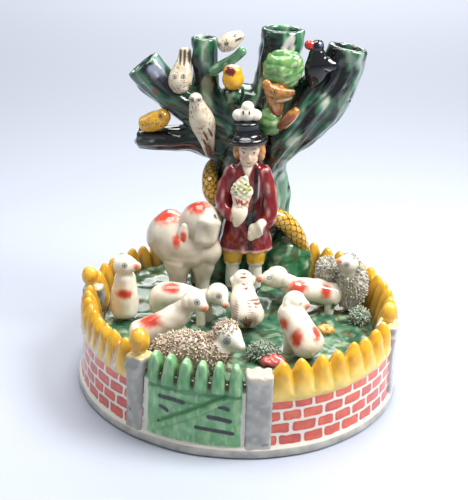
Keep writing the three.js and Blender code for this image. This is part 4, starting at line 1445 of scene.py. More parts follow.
@dataclass
class Shepherd:
    """The shepherd: black hat, maroon coat open over a cream waistcoat, a posy, breeches and stockings.

    The face is a calm one of this model's own: brows, lids and mouth drawn simply.
    """

    def build(self) -> None:
        """Makes the coat with its sleeves, the posy and hands, the legs, the head and the hat."""
        self.coat()
        self.posy()
        self.legs()
        self.head()
        self.hat()

    def coat(self) -> None:
        """Fuses coat and sleeves, lays soft folds in the skirt, and paints the opening, band and pale hem, with painted
        highlights on the ridges and painted shade beside the arms and in the hollows.
        """
        shells = [
            Path([[2.4, 33, 65.3, 17.0, 10.4], [2.2, 33, 80, 14.0, 9.4], [2.2, 33, 95, 12.4, 8.4], [2.4, 33, 109, 12.6, 8.2],
                  [2.4, 33, 117, 9.8, 7.2], [2.5, 32.5, 122.6, 4.8]], (1.0, 0.0, 0.0)).limb(64, 60, 0.05, 0.4),
            Path([[-6.4, 31.4, 115, 5.0], [-11.0, 29.8, 102, 5.1], [-10.8, 26.2, 93.5, 4.8], [-5.4, 22.8, 89.5, 4.2]]).limb(32, 36),
            Path([[11.2, 31.4, 115, 5.0], [15.6, 29.8, 101, 5.2], [15.6, 25.6, 88, 4.8], [10.4, 22.8, 83.6, 4.2]]).limb(32, 36),
        ]
        coat = Piece("shepherd_coat", Shell.joined(shells)).fuse(0.58, 5)
        places, normals = coat.points(), coat.normals()
        skirt = smooth_step(places[:, 2], 84.0, 68.0)
        pleat = np.sin(np.arctan2(places[:, 0] - 2, 33 - places[:, 1]) * 7 + 0.03 * places[:, 2])
        fold = 0.4 * cloud(places * [1, 1, 0.5], 7.0, 121)
        coat.move(places + normals * (0.35 * pleat * skirt + fold - 0.35)[:, None])
        brush = Brush(coat, "#7C1A1F")
        p = brush.places
        front = smooth_step(brush.normals[:, 1], 0.0, -0.25)
        brush.lay(0.55 * smooth_step(cloud(p * [1, 1, 0.4], 7.0, 122), -0.2, 0.9), "#942A2B")
        brush.lay(0.5 * smooth_step(cloud(p * [1, 1, 0.3], 4.5, 123), 0.2, 0.9), "#58131B")
        # Pale pink on the ridges: painted highlight.
        brush.paint_ridge_highlight("#D9ABA4", 0.25, 0.9)
        open_neck = (122.6 - p[:, 2]) / 11.0
        brush.lay(smooth_step(abs(p[:, 0] - 2.2) - 4.6 * (1 - open_neck), 0.5, -0.5) * front * (p[:, 2] > 110), "#E2D2BE")
        band = [(7.1, 23.5, 117.0), (7.3, 23.0, 108.0), (7.2, 23.2, 100.1), (6.3, 23.0, 91.1), (5.4, 22.5, 82.4)]
        brush.stroke(band, 2.6, "#0B0A0E", 0.3, False, 0.1)
        brush.stroke([(6.4, 22.6, 93.0), (5.0, 22.0, 87.0), (4.2, 21.8, 81.0)], 6.4, "#0B0A0E", 0.3, True, 0.1)
        brush.stroke([(5.2, 22, 80), (5.1, 22.0, 74.9), (5.3, 22.0, 64.4)], 2.6, "#0B0A0E", 0.3, False, 0.1)
        brush.stroke([(9.0, 24.0, 116.0), (9.2, 23.6, 108.0), (9.0, 23.2, 98.1)], 0.7, "#D8C4BC", 0.6, True, 0.1)
        # Soft dark lines between each arm and the body: painted shade.
        for x, lean in ((-6.2, -0.6), (10.6, 0.9)):
            brush.stroke([(x, 24, 110), (x + lean, 24, 101), (x + 0.4 * lean, 24, 93)], 1.1, "#3A0C14", 0.9, True, 0.15)
        hem = smooth_step(abs(p[:, 2] - 66.6), 0.9, 0.3)
        brush.lay(hem * 0.5, "#D8BEB4")
        # Darker in the hollows: pooled glaze and painted shade.
        brush.pool("#2A0A12", 0.3, 0.6)
        brush.done()
        coat.finish(GlazedPearlware("maroon_glaze", 0.07, 0.16, ripple_height_mm=0.07).material())

    def posy(self) -> None:
        """The posy: a cream kite of flowers with green, yellow and red dabs, over two drop-shaped cream hands."""
        posy = Piece("posy", Path([[1.2, 25.4, 113.2, 1.4, 1.2], [-0.2, 24.6, 109.6, 4.4, 2.4], [-0.8, 23.8, 105, 6.9, 3.0],
                                   [-0.8, 23.4, 100, 5.4, 3.0], [-1.4, 23.0, 94.6, 4.6, 3.0]], (1, 0, 0)).limb(52, 60)).fuse(0.41, 3)
        places = posy.points()
        posy.move(places + posy.normals() * (0.28 * cloud(places, 3.4, 124) - 0.1)[:, None])
        brush = Brush(posy, "#E5DAC4")
        brush.lay(0.7 * smooth_step(brush.places[:, 2] + 2 * cloud(places, 5.0, 125), 102.0, 108.0), "#CBBB8E")
        brush.lay(0.5 * smooth_step(cloud(places, 3.0, 126), 0.3, 1.0), "#B9B283")
        # Paler on the ridges: painted highlight.
        brush.paint_ridge_highlight("#F0E8D6", 0.25, 0.6)
        for x, z in ((-4.9, 108.0), (-3.1, 106.9), (-4.2, 105.0), (1.5, 109.6), (3.3, 108.6), (1.7, 104.6), (3.9, 106.2),
                     (0.7, 106.3), (-5.4, 106.4), (-3.6, 103.4)):
            brush.patch((x, 21.0, z), (1.15, 6, 0.8), "#3F8648", 0.5, 0.25)
        brush.patch((2.6, 20.8, 107.1), (1.1, 6, 1.0), "#E3AF2D", 0.4, 0.1)
        for path in (((-4.0, 21.6, 100.9), (-2.8, 21.4, 97.4)), ((-1.1, 21.0, 100.4), (-0.4, 21.0, 96.6)),
                     ((0.7, 21.2, 97.4), (3.0, 21.4, 99.7)), ((-2.4, 21.4, 101.0), (-1.8, 21.2, 98.2))):
            brush.stroke([path[0], (np.array(path[0]) + path[1]) / 2, path[1]], 1.3, "#B92E24", 0.4, True, 0.2)
        brush.done()
        posy.finish(GlazedPearlware(name="posy_glaze", clouding=0.06).material())
        hands = Piece("hands", Shell.joined([
            Path([[-1.4, 23.4, 96.0, 4.4, 2.6], [-1.9, 21.9, 92.0, 5.0, 3.2], [-2.8, 21.4, 87.6, 3.8, 2.6],
                  [-3.4, 21.4, 84.4, 1.9, 1.6]], (1, 0, 0)).limb(34, 30),
            Path([[13.6, 24.2, 85.6, 3.6, 3.0], [9.8, 21.8, 83.6, 5.4, 3.2], [7.2, 20.9, 79.6, 4.2, 2.6],
                  [5.2, 21.0, 76.2, 2.0, 1.6]], (1, 0, 1)).limb(34, 30)])).fuse(0.43, 3)
        brush = Brush(hands, "#E8DCC6")
        for x, z, lean in ((-3.4, 86.6, -0.6), (-2.2, 86.2, -0.5), (6.4, 79.4, -1.6), (7.7, 78.6, -1.4)):
            brush.stroke([(x, 18.8, z + 2.0), (x + lean * 0.4, 18.8, z), (x + lean, 19.6, z - 2.0)], 0.35, "#A98672", 0.5)
        # Darker in the hollows: pooled glaze and painted shade.
        brush.pool("#B99C84", 0.2, 0.5)
        brush.done()
        hands.finish(GlazedPearlware(name="skin_glaze", clouding=0.06).material())

    def legs(self) -> None:
        """Yellow breeches that swell over white stockings, and black shoes."""
        shells = []
        for x in (-4.8, 9.0):
            shells.append(Path([[x, 31, 38, 3.6], [x, 31, 46, 4.4], [x, 31, 55, 4.1], [x, 31, 59, 4.4]]).limb(30, 26))
            shells.append(Path([[x, 31.2, 56.4, 5.3], [x, 31.4, 60, 5.8], [x, 31.5, 67, 6.8]]).limb(32, 16, 0.25, 0.2))
            shells.append(Path([[x, 33, 38.2, 3.6, 3.0], [x - 0.6, 29, 38, 3.8, 2.9], [x - 1, 25.6, 37.8, 3.2, 2.4]],
                               (1, 0, 0)).limb(24, 16))
        legs = Piece("shepherd_legs", Shell.joined(shells)).fuse(0.66, 3)
        brush = Brush(legs, "#E7E3D6")
        z = brush.places[:, 2] + 0.3 * cloud(brush.places, 4.0, 132)
        brush.lay(smooth_step(z, 57.2, 57.9), "#E2B43A")
        brush.lay(smooth_step(z, 57.2, 57.9) * 0.6 * smooth_step(cloud(brush.places, 5.0, 131), 0, 0.9), "#C0882A")
        brush.lay(smooth_step(z, 41.6, 40.8), "#17151A")
        # Darker in the hollows: pooled glaze and painted shade.
        brush.pool("#8E8A80", 0.3, 0.5)
        brush.done()
        legs.finish(GlazedPearlware(name="stocking_glaze", clouding=0.08).material())

    def head(self) -> None:
        """A plain oval head with a small nose, painted brows, lids and mouth, and hair rolled at each side."""
        shells = [
            ball((2.7, 31.6, 129.0), (7.2, 7.4, 7.4), sides=48, rows=34),
            ball((2.7, 30.6, 124.0), (5.7, 6.2, 6.3), sides=44, rows=30),
            ball((2.6, 24.3, 125.6), (0.85, 1.1, 1.5), sides=20, rows=14),
            ball((2.6, 31.6, 119.6), (4.0, 4.0, 5), sides=28, rows=16),
        ]
        head = Piece("shepherd_head", Shell.joined(shells)).fuse(0.34, 6)
        brush = Brush(head, "#E6CDB4")
        for x in (-0.4, 5.6):
            brush.patch((x * 1.1 - 0.2, 25.6, 123.8), (2.3, 4, 2.0), "#DE9C82", 1.0, 0.05)
            brush.patch((x, 25.0, 127.6), (1.35, 4, 0.72), "#F0EAE0", 0.3, 0.0)
            brush.patch((x, 25.0, 127.6), (0.72, 4, 0.7), "#3E2A1C", 0.35, 0.0)
            brush.stroke([(x - 1.5, 25, 127.7), (x, 25, 128.5), (x + 1.5, 25, 127.7)], 0.4, "#50382A", 0.5, True, 0.1)
            brush.stroke([(x - 1.8, 25, 129.7), (x, 25, 130.4), (x + 1.8, 25, 129.7)], 0.5, "#7A5238", 0.6, True, 0.1)
        brush.stroke([(1.0, 24.6, 121.9), (2.6, 24.6, 121.5), (4.2, 24.6, 121.9)], 0.7, "#A9483C", 0.6, True, 0.1)
        brush.lay(smooth_step(brush.places[:, 1], 29.6, 31.4) * smooth_step(brush.places[:, 2], 119.6, 121.0), "#7A4522")
        brush.done()
        head.finish(GlazedPearlware(name="face_glaze", clouding=0.04, ripple_height_mm=0.02).material())
        locks = Piece("shepherd_hair", Shell.joined([ball((9.6, 32.0, 126.8), (2.9, 4.8, 6.0), sides=30, rows=20),
                                                     ball((-4.3, 32.0, 127.4), (2.6, 4.6, 5.4), sides=28, rows=18),
                                                     ball((-2.6, 29.6, 131.6), (2.4, 2.6, 3.0)),
                                                     ball((7.8, 29.6, 131.6), (2.6, 2.6, 3.0))])).fuse(0.48, 3)
        places = locks.points()
        wave = np.sin(places[:, 2] * 1.3 + 0.9 * abs(places[:, 0] - 2.6) + 0.5 * places[:, 1])
        locks.move(places + locks.normals() * (0.05 * wave)[:, None])
        brush = Brush(locks, "#C48C58")
        brush.lay(smooth_step(wave, 0.0, -0.9) * 0.6, "#94592E")
        brush.lay(smooth_step(cloud(places, 4.0, 133), 0.2, 0.9) * 0.5, "#D69A62")
        brush.done()
        locks.finish(GlazedPearlware(name="hair_glaze", clouding=0.12).material())

    def hat(self) -> None:
        """A round black hat: brim, crown and a pressed groove, wet with glaze."""
        radius = np.array([7.4, 10.4, 11.6, 11.9, 11.3, 9.8, 8.3, 7.6, 7.3, 7.4, 7.5, 6.6, 4.0, 1.6])
        height = np.array([132.4, 132.7, 133.3, 134.5, 135.7, 136.5, 137.6, 139.2, 141, 142.8, 144.0, 145.0, 145.4, 145.4])
        outline = catmull(np.stack([radius, height], 1), np.linspace(0, 1, 64))
        angle = np.linspace(0, 2 * math.pi, 72, endpoint=False)
        wave = 1 + 0.03 * np.sin(3 * angle + 1)
        x = 1.4 - 0.07 * (outline[:, 1:] - 135) + outline[:, :1] * np.cos(angle) * wave
        y = 31.0 + outline[:, :1] * 0.94 * np.sin(angle) * wave
        z = np.broadcast_to(outline[:, 1:], x.shape) + 0.05 * (x - 1.4)
        rings = np.stack([x, y, z], -1)
        hat = Piece("shepherd_hat", Shell.tube(rings, rings[0].mean(0), rings[-1].mean(0) + [0, 0, 0.1]))
        brush = Brush(hat, "#0C0C12")
        brush.lay(0.5 * smooth_step(cloud(brush.places, 6.0, 141), 0.4, 1.1), "#2A2A36")
        brush.done()
        hat.finish(GlazedPearlware(name="hat_glaze", roughness=0.06, clouding=0.1).material())


@dataclass
class Ewe:
    """The big ewe behind the shepherd's side: heavy body, lowered head, four short legs, reddle marks."""

    def build(self) -> None:
        """Fuses the body, then paints patches, eye, ear and hooves."""
        up = (0.0, 0.0, 1.0)
        shells = [
            Path([[-45.6, 30, 76.4, 14.4, 13.8], [-37, 29, 69.4, 15.6, 15.4], [-25, 27.0, 67.0, 13.8, 13.2]], up).limb(
                56, 40, 0.75, 0.7),
            ball((-24.6, 25, 83.6), (12.4, 10.4, 13.6), sides=44, rows=30),
            Path([[-20.6, 21.6, 86, 9.0], [-21.8, 19.2, 76.4, 7.4]]).limb(36, 18, 0.5, 0.8),
            ball((-20.6, 24, 66.6), (9.6, 8.4, 10.0), sides=40, rows=26),
        ]
        for x, y, radius in ((-37.6, 25, 7.4), (-23, 25, 6.0), (-40, 36, 5.4), (-27, 36, 4.9)):
            shells.append(Path([[x, y, 36.5, radius * 0.86], [x, y, 46, radius * 0.8], [x, y, 60, radius * 1.35]]).limb(
                28, 24, 0.1, 0.2))
        ewe = Piece("ewe", Shell.joined(shells)).fuse(0.72, 5)
        places = ewe.points()
        ewe.move(places + ewe.normals() * (0.3 * cloud(places, 13.0, 151) - 0.2)[:, None])
        ewe.refine(np.array([(-15.0, 21.6, 91.2), (-15, 16, 76)]), 5.0, 1)
        # The ground is a greyer cream than the lambs', partly painted shade from the tree's crown above.
        brush = Brush(ewe, "#D2C9B8")
        brush.lay(0.5 * smooth_step(cloud(brush.places, 10.0, 153), -0.2, 0.9), "#B9AE99")
        for centre, halves in (((-47.0, 26.8, 87.2), (12.6, 14, 5.8)), ((-27.4, 20.9, 95.4), (10.4, 12, 4.8)),
                               ((-38.2, 16.2, 75.0), (3.4, 5, 6.2))):
            brush.blush(centre, halves)
        brush.eye((-14.6, 19.2, 91.2), 2.2, (-0.4, 0, 1))
        brush.patch((-13.8, 17.0, 73.6), (2.4, 5, 1.8), "#D08A74", 0.9)
        brush.stroke([(-18.6, 15.0, 71.6), (-16.4, 14.4, 71.2), (-14.0, 15.4, 71.8)], 0.5, "#A9766A", 0.6)
        # Darker underneath: painted shade.
        brush.lay(0.6 * smooth_step(-brush.normals[:, 2], -0.2, 0.8), "#988D76")
        brush.lay(smooth_step(brush.places[:, 2], 40.4, 38.8), "#35302C")
        # Darker in the hollows: pooled glaze and painted shade.
        brush.pool("#A6947A", 0.35, 0.6)
        brush.done()
        ewe.finish(GlazedPearlware(name="white_glaze_ewe", clouding=0.07, cloud_mm=9.0, depth=0.05).material())
        ear = Piece("ewe_ear", Path([[-33.0, 18.4, 84.0, 2.6, 2.0], [-34.2, 17.4, 79, 3.4, 2.2], [-34.4, 16.8, 74.4, 2.4, 1.8]],
                                    (1, 0, 0)).limb(30, 30, 0.9, 0.9))
        brush = Brush(ear, "#E3D6C4")
        brush.blush((-34.2, 15.0, 78), (2.6, 4, 5.4))
        brush.done()
        ear.finish(GlazedPearlware(name="ear_glaze", clouding=0.06).material())


RAM_WOOL = "#D0BFA9"
RAM_EYE = (-6.4, -62.4, 51.8)


class Coat(Enum):
    """How a sheep's coat is made."""

    SMOOTH = "smooth glaze"
    CRUMBS = "shreds of clay"


@dataclass
class Sheep:
    """One sheep of the flock: a body along stops, a head, a nose, ears and short legs, all fused."""

    name: str
    body: Stops
    head: tuple[float, float, float, float]
    nose: tuple[float, float, float, float]
    eye: tuple[float, float, float] | None = None
    gaze: tuple[float, float, float] = (1, 0, 0.6)
    patches: tuple[tuple[tuple[float, float, float], tuple[float, float, float]], ...] = ()
    snout: tuple[float, float, float] | None = None
    ears: tuple[tuple[float, ...], ...] = ()
    feet: tuple[tuple[float, float], ...] = ()
    tint: str = CREAM
    coat: Coat = Coat.SMOOTH
    seed: int = 1
    marks: Callable[[Brush], None] | None = None

    def shell(self) -> Shell:
        """Every solid part of the sheep, a little inside its finished skin."""
        x, y, z, radius = self.head
        nose = np.array(self.nose[:3])
        middle = (np.array([x, y, z]) + nose) / 2
        parts = [
            Path([list(s[:3]) + [v - 0.3 for v in s[3:]] for s in self.body]).limb(34, 34, 0.75, 0.7),
            ball((x, y, z), (radius - 0.3,) * 3, sides=30, rows=20),
            ball(middle, ((radius + self.nose[3]) / 2 - 0.4,) * 3, sides=26, rows=18),
            ball(nose, (self.nose[3] - 0.2,) * 3, sides=24, rows=14),
        ]
        for foot in self.feet:
            parts.append(Path([[foot[0], foot[1], 30.8, 3.0], [foot[0], foot[1] + 0.6, 42, 3.4]]).limb(20, 14))
        parts += [ball(ear[:3], ear[3:], sides=20, rows=14) for ear in self.ears]
        return Shell.joined(parts)

    def build(self) -> None:
        """Fuses, lightly lumps and paints the sheep; a rough one also gets its shreds."""
        sheep = Piece(self.name, self.shell()).fuse(0.66 if self.coat is Coat.SMOOTH else 0.95, 3)
        places = sheep.points()
        lumps = 0.14 * cloud(places, 9.0, self.seed) - 0.05
        sheep.move(places + sheep.normals() * lumps[:, None])
        if self.eye or self.coat is Coat.CRUMBS:
            sheep.refine(np.array([self.eye or RAM_EYE]), 4.2, 2)
        brush = Brush(sheep, self.tint)
        brush.lay(0.3 * smooth_step(cloud(brush.places, 7.0, self.seed + 2), 0.0, 1.0), "#D8CDB9")
        for index, (centre, halves) in enumerate(self.patches):
            brush.blush(centre, halves, self.seed + index)
        if self.snout:
            brush.patch(self.snout, 4.4, "#EBB79E", 0.9, 0.05)
            brush.patch(self.snout, 3.2, "#DB7455", 0.9, 0.05)
            spot = np.array(self.snout)
            brush.stroke([spot + [-1.3, 0, -0.9], spot + [0.2, -0.4, -1.5], spot + [1.5, 0, -1.1]], 0.7, "#8E2A20", 0.5)
        if self.eye:
            brush.eye(self.eye, 1.55, self.gaze)
        # Darker in the hollows: pooled glaze and painted shade.
        brush.pool("#BCA888", 0.3, 0.45)
        # Darker underneath: painted shade.
        brush.lay(0.5 * smooth_step(-brush.normals[:, 2], 0.0, 0.9), "#A3967C")
        if self.marks:
            self.marks(brush)
        brush.done()
        if self.coat is Coat.CRUMBS:
            shade = "#97836E" if self.tint == RAM_WOOL else "#A5A296"
            Shreds(self.name + "_wool", sheep, self.head, self.nose, self.tint, self.seed, shade).build()
        sheep.finish(GlazedPearlware(name=f"glaze_{self.name}", clouding=0.07, depth=0.04).material())


@dataclass
class Shreds:
    """Shreds of clay pushed through a sieve and stuck on as wool: short bent rods, standing anyhow."""

    name: str
    base: Piece
    head: tuple[float, float, float, float] | None
    nose: tuple[float, float, float, float] | None
    tint: str
    seed: int = 1
    shade: str = "#9A8068"
    spacing: float = 1.15
    length: float = 2.2
    thickness: float = 0.5

    def build(self) -> None:
        """Sets a rod on each of many points scattered over the coat, worked out all at once."""
        places = self.base.points()
        normals = self.base.normals()
        keep = places[:, 2] > 31.5
        if self.head:
            away = np.linalg.norm(places - np.array(self.head[:3]), axis=1)
            ahead = (np.array(self.nose[:3]) - np.array(self.head[:3]))
            ahead = ahead / np.linalg.norm(ahead)
            facing = (places - np.array(self.head[:3])) @ ahead
            near_face = (away < self.head[3] * 1.2) & (facing > -0.3 * self.head[3])
            crown = (normals[:, 2] > 0.7) & (facing < 0.25 * self.head[3])
            keep &= ~near_face | crown
            keep &= np.linalg.norm(places - np.array(self.nose[:3]), axis=1) > self.nose[3] * 1.6
        cells = np.floor(places[keep] / self.spacing).astype(int)
        _, first = np.unique(cells, axis=0, return_index=True)
        spots, ways = places[keep][first], normals[keep][first]
        rng = np.random.default_rng(self.seed)
        spots = spots + rng.normal(0, 0.25, spots.shape)
        loose = ways + rng.normal(0, 0.75, ways.shape)
        loose /= np.linalg.norm(loose, axis=1, keepdims=True)
        drift = loose + rng.normal(0, 0.6, ways.shape)
        drift /= np.linalg.norm(drift, axis=1, keepdims=True)
        long = self.length * rng.uniform(0.6, 1.15, len(spots))[:, None]
        thick = self.thickness * rng.uniform(0.75, 1.2, len(spots))
        low = spots - ways * 0.7
        bend = low + loose * long * 0.55 + ways * 0.35
        tip = bend + drift * long * 0.5
        line = np.stack([low, bend, tip], 1)
        side = np.cross(tip - low, np.array([0.31, 0.23, 0.92]))
        side /= np.linalg.norm(side, axis=1, keepdims=True).clip(1e-6)
        rise = np.cross(tip - low, side)
        rise /= np.linalg.norm(rise, axis=1, keepdims=True).clip(1e-6)
        angle = np.linspace(0, 2 * math.pi, 5, endpoint=False)
        circle = side[:, None] * np.cos(angle)[:, None] + rise[:, None] * np.sin(angle)[:, None]
        taper = np.array([1.0, 1.0, 0.72])
        ring = line[:, :, None] + circle[:, None] * (thick[:, None] * taper)[:, :, None, None]
        ends = tip + (tip - bend) / np.linalg.norm(tip - bend, axis=1, keepdims=True) * thick[:, None] * 0.5
        count = len(spots)
        points = np.concatenate([ring.reshape(-1, 3), ends, low])
        start = np.arange(count)[:, None] * 15
        edge, after = np.arange(5), (np.arange(5) + 1) % 5
        quads = np.stack([edge, after, after + 5, edge + 5], -1)
        quads = np.concatenate([quads, quads + 5])
        quads = (start[:, None] + quads[None]).reshape(-1, 4)
        tips = np.stack([np.broadcast_to(start + 10 + edge, (count, 5)), start + 10 + after,
                         np.broadcast_to(count * 15 + np.arange(count)[:, None], (count, 5))], -1).reshape(-1, 3)
        roots = np.stack([start + after, np.broadcast_to(start + edge, (count, 5)),
                          np.broadcast_to(count * 16 + np.arange(count)[:, None], (count, 5))], -1).reshape(-1, 3)
        wool = Piece(self.name, Shell(points, quads, np.concatenate([tips, roots])))
        brush = Brush(wool, self.tint)
        shade = np.concatenate([np.repeat(rng.uniform(0, 1, count), 15), np.zeros(2 * count)])
        # Cover along each rod, full at its root and fading up it: where the painted shade goes.
        deep = np.concatenate([np.tile(np.repeat([1.0, 0.2, 0.0], 5), count), np.zeros(count), np.ones(count)])
        brush.lay(0.6 * smooth_step(cloud(brush.places, 9.0, self.seed + 3), 0.1, 1.0), self.shade)
        brush.lay(shade * 0.3, self.shade)
        # Darker at the roots among the shreds: painted shade.
        brush.lay(deep * 0.5, "#75634F")
        brush.done()
        wool.finish(GlazedPearlware(name=f"glaze_{self.name}", roughness=0.22, clouding=0.1).material())


def striped_back(brush: Brush) -> None:
    """Marks the lamb seen from behind: red-brown dashes, thin hatched stripes, a dark fan of a tail, dark ears."""
    brush.lay(0.55 * smooth_step(brush.places[:, 2] + 3 * cloud(brush.places, 6.0, 55), 46.0, 34.0), "#B49A80")
    for x, y, z in ((1.7, 4.1, 61.4), (1.7, 1.4, 60.0), (2.5, 0, 56.4), (2.8, -2.3, 54.8)):
        brush.stroke([(x - 1.9, y, z + 0.2), (x, y - 0.8, z), (x + 1.9, y, z + 0.2)], 1.0, "#8A3B28", 0.5, True, 0.2)
    for z in np.arange(52.6, 36.0, -1.2):
        y = -9.0 - 0.55 * (52 - z)
        brush.stroke([(-7.8, y + 5.5, z - 1.6), (-3.4, y - 0.5, z + 0.2), (-0.6, y - 1.2, z + 0.4)], 0.85, "#82503F", 0.7, True, 0.12)
        brush.stroke([(4.2, y - 1.2, z + 0.4), (8.4, y - 0.2, z), (12.2, y + 5.5, z - 1.8)], 0.85, "#82503F", 0.7, True, 0.12)
    for spread in (-3.6, -1.9, -0.2, 1.6, 3.2):
        top = (3.8 + spread, -17.6, 43.6 - 0.7 * abs(spread))
        brush.stroke([top, (4.6 + 0.55 * spread, -18.0, 38.4), (5.4, -16.8, 32.6)], 1.1, "#7A2A28", 0.5, True, 0.12)
    brush.stroke([(4.6, -17.4, 37.6), (5.2, -17.0, 34.6), (5.6, -15.4, 30.6)], 3.0, "#5E1418", 0.5, True, 0.12)
    brush.stroke([(-7.0, -9.6, 40.6), (-6.4, -10.4, 43.0), (-5.0, -11.6, 45.0)], 1.0, "#7A2E28", 0.5, True, 0.12)
    for ear in ((-6.2, 3.6, 54.8), (9.2, 7.2, 54.6)):
        brush.patch(ear, (1.9, 3, 2.6), "#4A3630", 0.7)


def white_face(brush: Brush) -> None:
    """Gives the rough ram its smooth white face, blue-grey eye and pink ear."""
    brush.patch((-5.5, -60, 51.4), (10.0, 9, 9.6), "#ECE8DD", 0.25, 0.05)
    brush.patch((-14.4, -59.6, 51.4), (3.0, 4, 3.6), "#C98A7C", 0.8)
    brush.eye(RAM_EYE, 1.8, (0, 0, 1))
    brush.patch(RAM_EYE, (1.1, 2, 1.1), "#6E7A92", 0.6, 0.0)


def leg_marks(brush: Brush) -> None:
    """Dabs dark green glaze on the rear leg of the lamb by the right-hand side."""
    brush.patch((57, 14, 36), (3, 6, 3.6), "#2B5A34", 0.7)
    brush.stroke([(52, 12.6, 40), (54, 12.4, 36), (55, 12.8, 33)], 1.2, "#1F4A2A", 0.5)


def faint_eye(brush: Brush) -> None:
    """Hints at the eye and brow of the lamb that looks away."""
    brush.patch((33.3, -34.6, 61.4), (1.6, 2, 1.3), "#A8A59C", 0.8)
    brush.stroke([(31.0, -35.4, 63.0), (33.0, -34.6, 64.0), (35.0, -33.8, 63.0)], 0.5, "#C99A88", 0.6)


